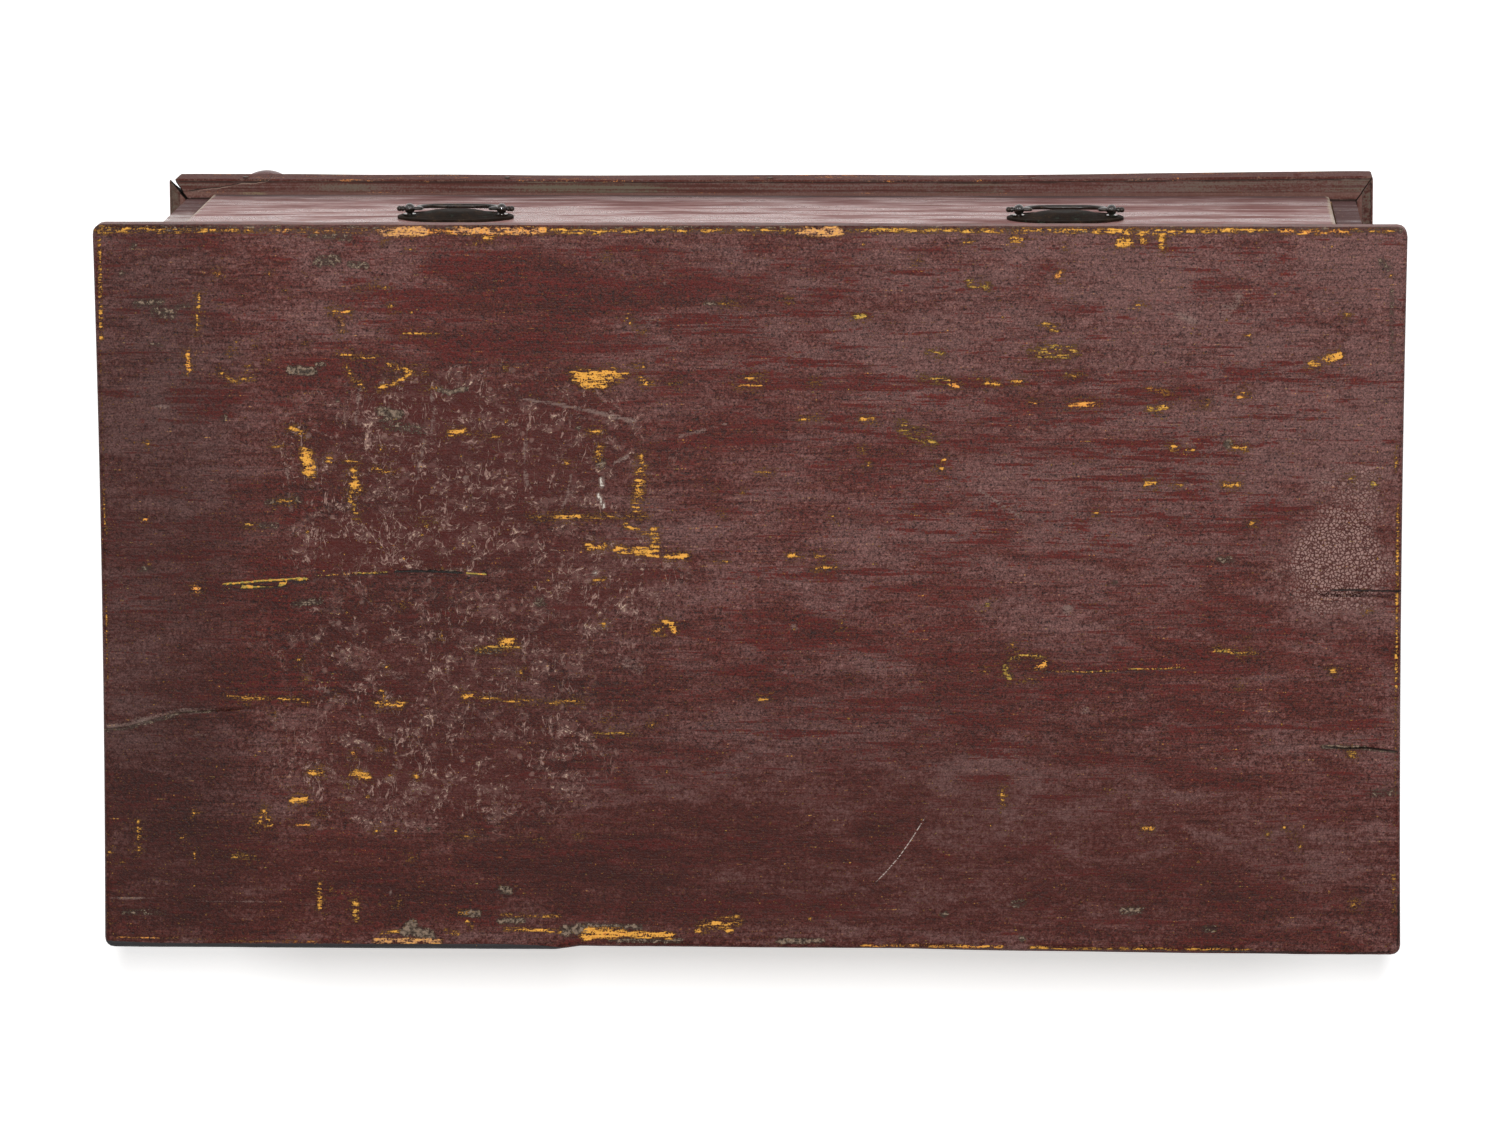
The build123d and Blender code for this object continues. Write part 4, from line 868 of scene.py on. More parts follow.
def lay_veins(look):
    """Branching pale ridges and spots over a redder ground."""
    inside = look.ease(look.vein, 0.0, 0.3)
    twist = look.away(look.noise(0.012, 7.0, 2.0, 0.5, 1.2), 0.5)
    strokes = look.away(look.noise((0.007, 0.018, 0.02), 7.7, 2.0, 0.5, 0.9), 0.52)
    dense = look.ease(look.sum(look.cluster, (look.vein, 0.7)), 0.1, 0.9)
    dense_too = look.ease(look.sum(look.other, (look.vein, 0.7)), 0.2, 1.0)
    twisted = look.product(look.ease(twist, 0.006, 0.034, 1.0, 0.0), dense)
    drawn = look.product(look.ease(strokes, 0.006, 0.03, 1.0, 0.0), dense_too)
    look.ridge = look.product(look.most(twisted, drawn), inside)
    broken = look.sum(look.fine, (look.speck, 0.4), (look.other, 0.4))
    shown = look.product(look.ridge, look.ease(broken, -1.1, 1.0, 0.25, 1.0))
    spots = look.sum(look.cells(0.017, 8.0, 0.3, "F1"), (look.fine, 0.02), (look.cluster, -0.03))
    spot = look.product(look.ease(spots, 0.08, 0.17, 1.0, 0.0), inside)
    look.cover(look.ease(look.vein, 0.1, 0.9, 0.0, 0.75), (66, 20, 15))
    haze = look.ease(look.sum(look.cluster, (look.fine, 0.4), (look.speck, 0.2)), 0.0, 1.6, 0.0, 0.34)
    look.cover(look.product(inside, haze), (120, 88, 82))
    # The raised ridges and spots are paled, palest in cream: partly dust, partly a painted highlight on the
    # wrinkles
    look.cover(look.product(look.most(shown, look.product(spot, 0.42)), 0.7), ridge_dust_and_highlight)
    cream = look.sum(
        0.0, (shown, 0.8), (spot, 0.7), (look.cluster, 0.2), (look.speck, 0.25), (look.fine, 0.2)
    )
    look.cover(look.ease(cream, 1.04, 1.4, 0.0, 0.8), cream_white)


def lay_crazing(look):
    """Pale islands with dark splits between them, beside the joint's crack."""
    islands = look.ease(look.cells(0.0029, 10.0, 0.9), 0.02, 0.24)
    level = look.ease(look.sum(look.named("craze"), (look.fine, 0.14), (look.patch, 0.16)), 0.15, 1.1)
    look.cover(look.product(level, islands, 0.72), (158, 126, 118))
    look.cover(look.product(level, look.math("SUBTRACT", 1.0, islands), 0.8), oxblood_dark)


def lay_stains(look):
    """Pale scratches and greenish dark stains."""
    named_pale = look.named("pale")
    grainy = look.product(
        look.sum(0.0, (look.fibre, 0.1), (look.speck, 0.16)), look.ease(named_pale, 0.0, 0.4)
    )
    patchy = look.product(
        look.ease(named_pale, 0.0, 0.3), look.sum(-0.06, (look.patch, 0.14), (look.cluster, 0.12))
    )
    pale = look.sum(named_pale, (grainy, 1.0), (patchy, 1.0))
    look.cover(look.ease(pale, 0.22, 0.66, 0.0, 0.52), (128, 108, 100))
    look.cover(look.ease(pale, 0.85, 1.25), (205, 196, 184))
    named_coat = look.named("coat")
    ragged = look.sum(0.0, (look.fibre, 0.16), (look.fine, 0.24), (look.speck, 0.2))
    look.coat = look.sum(named_coat, (look.product(ragged, look.ease(named_coat, 0.0, 0.4)), 1.0))
    look.cover(look.ease(look.coat, 0.3, 0.6, 0.0, 0.82), dark_green)
    grey = look.mix(look.ease(look.fine, -1.0, 1.2), (72, 59, 49), (136, 115, 98))
    look.cover(look.ease(look.coat, 0.66, 0.85, 0.0, 0.85), grey)


def lay_primer(look):
    """Ragged marks and dots where the paint is gone, each with a dark rim, and a painted shadow along the
    top's rear-left edge.
    """
    named_bare = look.product(look.named("bare"), 1.1)
    ragged = look.sum(-0.12, (look.torn, 0.5), (look.fine, 0.28), (look.speck, 0.8), (look.shreds, 0.36))
    bare = look.sum(named_bare, (look.product(ragged, look.ease(named_bare, 0.0, 0.6)), 1.0))
    bare = look.most(
        bare, look.sum(-0.16, (look.named("spatter"), 0.66), (look.speck, 0.4), (look.torn, 0.24))
    )
    look.cover(look.ease(bare, 0.25, 0.5, 0.0, 0.65), dark_green)
    dot_size = look.sum(-0.022, (look.grain(0.03, 13.0, 2.0), 0.06), (look.vein, 0.07))
    dot = look.math("SUBTRACT", look.sum(look.cells(0.012, 12.0, 0.0, "F1"), (look.speck, 0.02)), dot_size)
    look.cover(look.ease(dot, 0.02, 0.08, 0.6, 0.0), dark_green)
    look.exposed = look.most(look.ease(bare, 0.5, 0.57), look.ease(dot, 0.0, 0.03, 0.9, 0.0))
    hue = look.sum(look.named("hue"), (look.fine, 0.16))
    gold = look.mix(look.ease(hue, 0.1, 0.9), primer_gold, primer_green)
    gold = look.mix(look.ease(hue, 0.0, -0.4), gold, primer_orange)
    gold = look.mix(look.ease(hue, -0.45, -0.75), gold, bare_tan)
    stained = look.sum(0.0, (look.speck, 1.0), (look.torn, 0.5), (look.fine, 0.3), (bare, -1.3))
    gold = look.mix(look.ease(stained, -1.5, -0.5, 0.0, 0.9), gold, primer_brown)
    gold = look.mix(look.ease(look.sum(bare, (look.speck, -0.3)), 1.0, 1.8, 0.0, 0.6), gold, (228, 166, 76))
    look.cover(look.exposed, gold)
    # Painted shadow: dark grey along the top's rear-left edge
    look.cover(look.ease(look.sum(look.named("painted_shadow_strip"), (look.fine, 0.15)), 0.0, 0.5), (48, 46, 47))


def lay_cracks(look):
    """Dark cracks with primer along one side, and one thin white scratch."""
    gap = look.away(look.sum(look.named("gap"), (look.fine, 0.3)))
    beside = look.away(look.sum(look.named("gap"), (look.fine, 0.35)), 1.3)
    gold_line = look.product(look.ease(beside, 0.55, 1.2, 1.0, 0.0), look.named("gap_gold"))
    gold_line = look.ease(look.sum(gold_line, (look.fibre, 0.2), (look.speck, 0.16)), 0.4, 0.6)
    look.cover(gold_line, look.mix(look.ease(look.fine, -0.5, 0.8), primer_green, primer_gold))
    look.dark_line = look.product(look.ease(gap, 0.45, 1.1, 1.0, 0.0), look.named("gap_dark"))
    look.cover(look.dark_line, near_black)
    scratch = look.product(
        look.ease(look.away(look.named("scratch")), 0.15, 0.55, 0.7, 0.0), look.named("scratched")
    )
    look.cover(look.product(scratch, look.ease(look.fibre, -1.0, 0.5)), (210, 196, 186))


def top_paint():
    """The top's worn paint; its side and rear edges and its underside are darker and duller, and its front
    edge has a painted pinkish sheen.
    """
    look = Finish("top_paint")
    look.grains(
        fibre=((0.022, 0.0012, 0.01), 1.0, 3.0), speck=(0.0015, 2.0, 2.0, 0.6), fine=(0.0036, 3.0, 3.0, 0.6),
        patch=((0.026, 0.012, 0.02), 3.5, 3.0, 0.5), blotch=((0.08, 0.03, 0.04), 3.8, 4.0, 0.7),
        broad=((0.22, 0.09, 0.1), 4.0, 3.0), streaky=((0.1, 0.0075, 0.02), 5.0, 5.0, 1.0),
        thin=((0.04, 0.0024, 0.01), 5.5, 3.0, 0.8), cluster=((0.02, 0.013, 0.02), 9.0, 3.0, 0.4),
        other=((0.014, 0.018, 0.02), 9.5, 3.0, 0.4), torn=((0.010, 0.0012, 0.005), 11.0, 2.0),
        shreds=((0.009, 0.003, 0.005), 11.5, 2.0),
    )
    look.vein = look.named("vein")
    for lay in (lay_oxblood, lay_veins, lay_crazing, lay_stains, lay_primer, lay_cracks):
        lay(look)
    look.height = look.sum(
        0.0, (look.exposed, -0.0002), (look.fibre, 0.00002), (look.fine, 0.00005), (look.crackle, -0.00006)
    )
    look.height = look.sum(
        look.height, (look.ridge, 0.0005), (look.dark_line, -0.0004), (look.speck, 0.00002)
    )
    look.height = look.sum(look.height, (look.ease(look.coat, 0.5, 0.7), -0.00008))
    low = look.ease(look.math("SUBTRACT", top_z, look.where[2]), 3 * mm, 5 * mm)
    in_front = look.product(
        low, look.ease(look.where[1], 2 * mm - top_half_y, 4 * mm - top_half_y, 1.0, 0.0)
    )
    edge = look.math("SUBTRACT", low, in_front)
    look.cover(look.product(edge, 0.35), oxblood_dark)
    # Painted sheen: pinkish blotches over the front edge face, which is seen at a grazing angle
    rubbed = look.ease(look.sum(0.0, (look.blotch, 0.6), (look.fine, 0.4)), -1.2, 1.2, 0.0, 0.5)
    look.cover(look.product(in_front, rubbed), (150, 108, 100))
    look.rough = look.sum(
        0.42, (edge, 0.35), (in_front, 0.08), (look.exposed, 0.25), (look.ridge, 0.1), (look.fine, 0.03)
    )
    look.rough = look.sum(look.rough, (look.ease(look.bloom, 0.1, 0.95), 0.12))
    return look.done(**{"Specular IOR Level": 0.15})


def drawn_out(size, along, length):
    """A size on each axis that is longer along one of them."""
    return tuple(length if axis == along else size for axis in range(3))


def lay_plain_paint(look, along, sheen_and_rub=0.0):
    """Worn oxblood paint with the grain along one axis; the last argument is how much it pales where it is
    rubbed and how strong its painted sheen is.
    """
    look.grains(
        fibre=(drawn_out(0.0012, along, 0.03), 21.0, 3.0), streaky=(drawn_out(0.005, along, 0.1), 22.0, 3.0),
        speck=(0.0016, 23.0, 2.0), fine=(0.005, 24.0, 3.0),
    )
    level = look.sum(
        0.5, (look.streaky, 0.12), (look.speck, 0.16), (look.fine, 0.14), (look.grain(0.12, 25.0, 3.0), 0.12)
    )
    look.base = look.mix(look.ease(level, -0.1, 0.5), oxblood_dark, oxblood)
    look.cover(look.ease(level, 0.4, 1.2), bloom_mauve)
    if sheen_and_rub:
        rubbed = look.sum(0.0, (look.fibre, 0.4), (look.streaky, 0.5), (look.fine, 0.3))
        look.cover(look.ease(rubbed, 0.0, 1.6, 0.0, sheen_and_rub), (166, 136, 130))
    chips = look.sum(0.0, (look.grain(0.013, 26.0, 3.0), 0.34), (look.fibre, 0.12), (look.speck, 0.12))
    look.cover(look.ease(chips, 0.66, 0.8, 0.0, 0.8), dark_green)
    chip = look.ease(chips, 0.86, 0.93)
    look.cover(chip, look.mix(look.ease(look.fine, -1.0, 1.0), primer_brown, primer_gold))
    look.rough = look.sum(0.4, (look.fine, 0.03), (chip, 0.3), (look.ease(level, 0.4, 1.2), 0.1))
    if sheen_and_rub:
        polish, drawn = look.grain((0.09, 0.2, 0.024), 27.0, 5.0), look.grain((0.16, 0.2, 0.009), 28.0, 3.0)
        look.rough = look.sum(look.rough, (polish, 0.28), (drawn, 0.13), (look.streaky, 0.05), (-0.04, 1.0))
        # Painted sheen: a pinkish cover, paler where the paint is glossier and darker where it is duller
        look.cover(sheen_and_rub, (196, 128, 120))
        look.cover(look.ease(look.sum(polish, (drawn, 0.6)), 0.1, -1.5, 0.0, sheen_and_rub * 1.8), (226, 188, 184))
        look.cover(look.ease(look.sum(polish, (drawn, 0.6)), 0.2, 1.5, 0.0, 0.48), (80, 32, 28))
    look.height = look.sum(
        0.0, (look.fibre, 0.00003), (look.streaky, 0.00005), (look.fine, 0.00004), (chip, -0.00015)
    )


ring_width = 4.2 * mm


def lay_pine(look, along, across, tint=0.0):
    """Old bare pine: growth rings round a line along the grain; across is the axis of its thickness."""
    chance = look.node("ShaderNodeObjectInfo").outputs["Random"]
    first_axis, second_axis = [axis for axis in range(3) if axis != along]
    slow = look.grain(drawn_out(0.05, along, 0.6), 31.0, 2.0)
    first = look.sum(0.011, (look.where[first_axis], 1.0), (slow, 0.0025), (chance, 0.09))
    second = look.sum(0.16, (look.where[second_axis], 1.0), (slow, 0.003))
    if across == first_axis:
        first = look.sum(0.02, (look.where[first_axis], 0.6), (slow, 0.004), (chance, 0.05))
    radius = look.math("SQRT", look.math("ADD", look.product(first, first), look.product(second, second)))
    turns = look.product(look.sum(0.0, (radius, 1.0), (slow, 0.0012)), 2 * math.pi / ring_width)
    ring = look.math("MULTIPLY_ADD", look.math("SINE", turns), 0.5, 0.5)
    fibre = look.grain(drawn_out(0.0007, along, 0.03), 32.0, 3.0)
    stain = look.grain((0.09, 0.09, 0.09), 33.0, 4.0)
    spot = look.grain(0.004, 34.0, 2.0)
    stained = look.ease(look.sum(0.5, (stain, 0.2), (chance, 0.3)), 0.0, 1.1)
    look.base = look.mix(stained, (206, 170, 122), (168, 126, 82))
    look.cover(look.product(look.math("POWER", ring, 3.0), 0.5), (138, 92, 52))
    look.cover(look.ease(fibre, 0.2, 2.2, 0.0, 0.5), (116, 80, 48))
    look.cover(look.ease(look.sum(0.0, (stain, 0.8), (spot, 0.35)), 1.0, 2.2, 0.0, 0.5), (78, 56, 38))
    look.cover(tint, (92, 66, 46))
    look.rough = look.sum(0.72, (fibre, 0.03), (ring, -0.08))
    look.height = look.sum(0.0, (fibre, 0.00004), (ring, 0.00006), (spot, 0.00002))


def bare_pine(name, along, across, tint=0.0):
    look = Finish(name)
    lay_pine(look, along, across, tint)
    return look.done()


def painted_outside(name, along, faces, sheen_and_rub=0.0, lay_detail=None):
    """Paint on the outer faces and bare pine inside; faces holds the axis, side and place of each."""
    look = Finish(name)
    lay_pine(look, along, 2, 0.15)
    bare_base, bare_rough, bare_height = look.base, look.rough, look.height
    lay_plain_paint(look, along, sheen_and_rub)
    if lay_detail is not None:
        lay_detail(look)
    spill = look.grain(0.006, 41.0, 3.0)
    painted = []
    for axis, side, limit in faces:
        over = look.sum(0.0, (look.where[axis], side / mm), (spill, 0.35))
        painted.append(look.ease(over, side * limit / mm - 0.4, side * limit / mm + 0.1))
    painted = look.most(*painted)
    look.base = look.mix(painted, bare_base, look.base)
    look.rough = look.sum(
        bare_rough, (look.product(painted, look.math("SUBTRACT", look.rough, bare_rough)), 1.0)
    )
    look.height = look.sum(bare_height, (look.product(painted, look.height), 1.0))
    return look.done()


def lay_pale_ends(look):
    """Greenish rubbed strips at the ends of the drawer's face, which is darker and redder towards -X and has
    painted shade low down, darkest in a painted shadow along the ledge.
    """
    wavy = look.sum(look.away(look.where[0]), (look.grain((0.01, 0.01, 0.02), 43.0, 3.0), 0.9 * mm))
    strip = look.ease(wavy, drawer_high.x - 4.5 * mm, drawer_high.x - 2 * mm, 0.0, 0.7)
    high = look.sum(look.where[2], (look.grain((0.09, 0.09, 0.03), 46.0, 3.0), 8 * mm))
    shaded = look.ease(high, ledge_z, ledge_z + 125 * mm, 1.0, 0.0)
    foot = look.ease(high, ledge_z + 4 * mm, ledge_z + 26 * mm, 1.0, 0.0)
    redder = look.ease(look.where[0], -0.15, -0.42)
    look.cover(look.product(redder, 0.4), (104, 48, 42))
    # Painted shade low down on the face, and a painted shadow just above the ledge
    look.cover(look.product(shaded, 0.7), (66, 26, 22))
    look.cover(look.product(foot, 0.8), (36, 15, 12))
    look.rough = look.sum(look.rough, (strip, 0.2), (shaded, 0.3), (foot, 0.2), (redder, 0.1))
    look.cover(strip, (176, 160, 138))


def lay_dull_fronts(look):
    """Front edges of the side boards: painted shade, dull and dark, all the way up at -X and near the ledge
    at +X, and a painted pale sheen higher up at +X.
    """
    front = look.ease(look.where[1], case_front_y + 0.5 * mm, case_front_y + 2 * mm, 1.0, 0.0)
    wavy = look.sum(look.where[2], (look.grain((0.02, 0.02, 0.05), 44.0, 3.0), 0.012))
    low = look.ease(wavy, ledge_z + 50 * mm, ledge_z + 170 * mm, 1.0, 0.0)
    dull = look.product(look.most(low, look.ease(look.where[0], -mm, mm, 1.0, 0.0)), front)
    pale = look.math("SUBTRACT", front, dull, clamp=True)
    pale = look.product(pale, look.ease(wavy, ledge_z + 70 * mm, ledge_z + 200 * mm))
    # Painted shade where the fronts are dull, painted sheen where they are pale
    look.cover(look.product(dull, 0.85), (60, 24, 22))
    look.cover(look.product(pale, 0.75), (196, 178, 172))
    look.rough = look.sum(look.rough, (dull, 0.6), (pale, -0.12))


quirk_drop = 9.6
olive_x = 0.452


def moulding_paint():
    """Paint that has gone grey-green in the hollow and pinkish on the fillets."""
    look = Finish("moulding_paint")
    lay_plain_paint(look, 0)
    look.grains(
        fine=((0.02, 0.004, 0.004), 51.0, 3.0), speck=(0.0016, 52.0, 2.0), wobble=(0.012, 53.0, 3.0),
        bands=((0.16, 0.0026, 0.0026), 54.0, 3.0), greenness=(0.14, 55.0, 2.0),
        clumps=((0.03, 0.01, 0.01), 56.0, 3.0),
    )
    high = look.math("SUBTRACT", look.product(look.where[2], 1 / mm), ledge_z / mm)
    wavy = look.sum(high, (look.fine, 0.5))
    hollow = look.product(look.ease(wavy, -10.5, -8.5), look.ease(wavy, -1.8, -0.8, 1.0, 0.0))
    flat = look.math("SUBTRACT", 1.0, hollow)
    ledge = look.ease(high, -0.8, -0.4)

    grey = look.ease(
        look.sum(0.45, (look.bands, 0.5), (look.speck, 0.35), (look.greenness, 0.25)), -0.1, 1.1, 0.1, 0.9
    )
    hollow_grey = look.mix(look.ease(look.greenness, -1.0, 1.0), (100, 83, 78), (94, 88, 74))
    look.cover(look.product(hollow, grey), hollow_grey)
    look.cover(look.product(hollow, look.ease(look.bands, 0.1, -1.5, 0.0, 0.85)), (54, 24, 20))
    look.cover(look.ease(look.away(wavy, -quirk_drop), 0.5, 1.4, 0.85, 0.0), near_black)
    fillet = look.ease(
        look.sum(0.0, (look.speck, 0.8), (look.fine, 0.6), (look.bands, 0.3)), -0.2, 1.8, 0.0, 0.7
    )
    look.cover(look.product(fillet, flat), (132, 104, 92))

    out = look.sum(look.named("reach"), (look.fine, 0.3), (look.speck, 0.15))
    look.cover(look.product(ledge, look.ease(out, 2.0, 5.5, 0.2, 0.6)), (118, 90, 82))
    # Painted shadow: near black along the ledge where it meets the case
    look.cover(look.product(ledge, look.ease(out, 0.9, 2.2, 0.95, 0.0)), near_black)
    olive = look.product(ledge, look.ease(look.away(look.where[0], olive_x), 6 * mm, 15 * mm, 0.7, 0.0))
    rubbed = look.ease(look.sum(0.0, (look.fine, 0.5), (look.speck, 0.4)), -0.9, 0.6)
    look.cover(look.product(olive, rubbed), (138, 124, 96))

    flecks = look.ease(look.sum(0.0, (look.clumps, 0.5), (look.speck, 0.42), (look.fine, 0.3)), 0.95, 1.1)
    off_ledge = look.math(
        "SUBTRACT", look.ease(look.away(look.where[0]), 0.49, 0.5, 1.0, 0.0), ledge, clamp=True
    )
    fleck_colour = look.mix(look.ease(look.fine, -0.6, 0.6), primer_gold, primer_orange)
    look.cover(look.product(flecks, flat, off_ledge), fleck_colour)

    scarf = look.sum(look.named("scarf"), (look.wobble, 0.5), (look.speck, 0.12))
    # Painted highlight: a pale band along one side of the split
    split_highlight = look.ease(look.away(scarf, -0.8), 0.1, 0.8, 0.35, 0.0)
    look.cover(look.product(split_highlight, look.ease(look.fine, -1.0, 1.0)), (190, 166, 150))
    look.cover(look.ease(look.away(scarf), 0.1, 0.6, 1.0, 0.0), near_black)
    look.cover(0.2, (88, 70, 64))
    look.cover(
        look.ease(look.where[0], moulding_high.x - 12 * mm, moulding_high.x - 6 * mm, 0.0, 0.3), (96, 88, 76)
    )
    # Painted shade: near black on the faces at the mitres, in the gaps between the pieces
    look.cover(look.ease(look.named("mitre"), 0.35, 0.9, 0.97, 0.0), near_black)
    look.rough = look.sum(look.rough, (0.3, 1.0))
    return look.done(**{"Specular IOR Level": 0.12, "IOR": 1.28})


def bronze(name, polish, shine):
    """Dark brown-green patina with rubbed brass on the high spots."""
    look = Finish(name)
    look.grains(
        fine=(0.0018, 61.0, 3.0), broad=(0.009, 62.0, 3.0), brushed=((0.006, 0.003, 0.0006), 63.0, 2.0)
    )
    look.base = look.mix(look.ease(look.broad, -1.2, 1.4), (25, 18, 14), (40, 31, 25))
    look.cover(
        look.ease(look.sum(0.0, (look.fine, 0.7), (look.broad, 0.5)), 0.8, 1.9, 0.0, 0.5), (112, 86, 56)
    )
    look.cover(
        look.ease(look.sum(0.0, (look.fine, 0.6), (look.broad, -0.8)), 0.8, 1.8, 0.0, 0.5), (58, 68, 56)
    )
    look.rough = look.sum(0.62 - polish, (look.fine, 0.04), (look.broad, 0.04), (look.brushed, 0.02))
    look.height = look.sum(0.0, (look.fine, 0.00001), (look.brushed, 0.00001), (look.broad, 0.00002))
    return look.done(Metallic=0.3 * shine, IOR=1.25 + polish / 2, **{"Specular IOR Level": shine})


def iron():
    """Rusty nails, screws and nuts."""
    look = Finish("rusty_iron")
    look.grains(fine=(0.001, 71.0, 3.0), broad=(0.006, 72.0, 3.0))
    look.base = look.mix(look.ease(look.broad, -1.0, 1.2), (62, 58, 56), (96, 58, 38))
    look.cover(look.ease(look.fine, 0.4, 1.6, 0.0, 0.6), (132, 78, 44))
    look.rough = look.sum(0.6, (look.broad, 0.06), (look.fine, 0.04))
    look.height = look.sum(0.0, (look.fine, 0.00004), (look.broad, 0.00006))
    return look.done(Metallic=0.5)


# Base mouldings: copies of the CAD pieces that wear and bend

side_inward = {-1: 2.3 * mm, 1: 1.3 * mm}
moulding_face = 37 * mm
moulding_corner = 3.2 * mm
moulding_cut = 8 * mm
left_end_shrink, right_end_growth = 1.2 * mm, 2.9 * mm
front_bend_places = (-case_half_x, -0.2, 0.15, case_half_x)
front_bend_growth = (right_end_growth, -0.9 * mm, -1.7 * mm, -left_end_shrink)
mitre_gap_inside, mitre_gap_outside = 1.2 * mm, 5.4 * mm
mitre_undercut = 10 * mm
tip_back_inside, tip_back_outside = 0.6 * mm, 1.0 * mm
scarf_pixels = [(190.6, 189.5), (215, 186.9), (240, 182.9), (270, 179.5)]
scarf_z = ledge_z - 12 * mm
mitre_band, mitre_inner, tip_band, lean_band = 0.03, 0.012, 0.02, 0.1
ledge_wave, front_wave, side_wave = 0.12 * mm, 0.25 * mm, 0.25 * mm
ledge_wave_size, front_wave_size, side_wave_size = (0.05, 0.01, 0.01), (0.07, 0.02, 0.02), (0.02, 0.08, 0.02)
wavy_above = 0.06
no_scarf = 50.0


def worn_copy(node, axis, places, bend):
    """A copy of a CAD piece, cut across an axis at each place, then bent; also its unbent places."""
    source = bpy.data.objects[node]
    grid = bmesh.new()
    grid.from_mesh(source.data)
    grid.transform(source.matrix_world)
    bmesh.ops.remove_doubles(grid, verts=grid.verts, dist=0.002 * mm)
    normal = Vector([float(axis == index) for index in range(3)])
    for place in places:
        everything = grid.verts[:] + grid.edges[:] + grid.faces[:]
        point = normal * float(place)
        bmesh.ops.bisect_plane(grid, geom=everything, plane_co=point, plane_no=normal, dist=1e-7)
    mesh = bpy.data.meshes.new(node + "_worn")
    grid.to_mesh(mesh)
    grid.free()
    rest = np.empty(len(mesh.vertices) * 3)
    mesh.vertices.foreach_get("co", rest)
    rest = rest.reshape(-1, 3)
    mesh.vertices.foreach_set("co", bend(rest).ravel())
    return link_mesh(node + "_worn", mesh, moulding_sharp_angle), rest


def round_corners(places):
    """Rounds the mouldings' outer front corners, as seen from above."""
    moved = places.copy()
    inner_x, inner_y = moulding_high.x - moulding_corner, moulding_low.y + moulding_corner
    off_x, off_y = np.abs(places[:, 0]) - inner_x, inner_y - places[:, 1]
    corner = (off_x > 0) & (off_y > 0)
    shrink = np.maximum(off_x, off_y)[corner] / np.hypot(off_x, off_y)[corner]
    moved[corner, 0] = np.sign(places[corner, 0]) * (inner_x + off_x[corner] * shrink)
    moved[corner, 1] = inner_y - off_y[corner] * shrink
    return moved


def side_reach(places, side):
    """How far places stand out from one side of the case, from 0 at the case to 1 at the moulding's face."""
    return np.clip((side * places[:, 0] - case_half_x) / (moulding_high.x - case_half_x), 0, 1)


def bend_front_moulding(places):
    """The front moulding stands out more at its -X end, and its +X mitre has opened."""
    moved = round_corners(places)
    growth = np.interp(places[:, 0], front_bend_places, front_bend_growth)
    reach = np.clip((case_front_y - places[:, 1]) / (case_front_y - moulding_low.y), 0, 1)
    moved[:, 1] -= growth * reach
    end = fade(places[:, 0], moulding_high.x - mitre_band, moulding_high.x - mitre_inner)
    moved[:, 0] -= end * (mitre_gap_inside + reach * (mitre_gap_outside - mitre_gap_inside))
    moved[:, 0] += side_inward[-1] * side_reach(places, -1)
    moved[:, 2] += ledge_wave * smooth_noise(places, ledge_wave_size, 41, 2) * (places[:, 2] > wavy_above)
    moved[:, 1] += front_wave * smooth_noise(places, front_wave_size, 42, 2) * reach
    return moved


def bend_side_moulding(places):
    """A side moulding; the +X one has sprung back from the front one and is undercut at its tip."""
    moved = round_corners(places)
    side = 1 if places[:, 0].mean() > 0 else -1
    reach = side_reach(places, side)
    if side > 0:
        low_share = np.clip((moulding_low.z + moulding_face - places[:, 2]) / moulding_face, 0, 1)
        back = tip_back_inside + reach * (tip_back_outside - tip_back_inside)
        back += mitre_undercut * reach**0.7 * low_share
        moved[:, 1] += fade(-places[:, 1], -case_front_y - tip_band, -case_front_y) * back
    else:
        lean = fade(-places[:, 1], -case_front_y - lean_band, -moulding_low.y)
        moved[:, 1] -= lean * reach * right_end_growth
    moved[:, 0] -= side * side_inward[side] * reach
    moved[:, 0] -= side * side_wave * (1 + smooth_noise(places, side_wave_size, 43, 2)) * reach
    return moved


def scarf_distance(places):
    """Millimetres from the split in the front moulding's +X end."""
    return from_line(places[:, :2], on_level(scarf_pixels, scarf_z))[0] / mm


def make_mouldings():
    finish = moulding_paint()
    corner_cuts = np.arange(mm, moulding_corner + 2 * mm, mm)
    front_cuts = np.arange(moulding_low.x + moulding_cut, moulding_high.x, moulding_cut)
    front_cuts = np.r_[front_cuts, moulding_low.x + corner_cuts, moulding_high.x - corner_cuts]
    side_cuts = np.arange(moulding_low.y + moulding_cut, case_high.y, moulding_cut)
    side_cuts = np.r_[moulding_low.y + corner_cuts, side_cuts]
    for node, axis, cuts, bend in (
        ("base_moulding_front", 0, front_cuts, bend_front_moulding),
        ("base_moulding_left", 1, side_cuts, bend_side_moulding),
        ("base_moulding_right", 1, side_cuts, bend_side_moulding),
    ):
        copy, rest = worn_copy(node, axis, cuts, bend)
        out_front, out_side = case_front_y - rest[:, 1], np.abs(rest[:, 0]) - case_half_x
        store(copy.data, "scarf", scarf_distance(bend(rest)) if axis == 0 else np.full(len(rest), no_scarf))
        store(copy.data, "reach", np.maximum(out_front, out_side) / mm)
        store(copy.data, "mitre", np.abs(out_front - out_side) / (math.sqrt(2) * mm))
        dress(copy, node, "case", finish)


# Handle plates: a raised rim, three fine rings and a low dome inside the bail

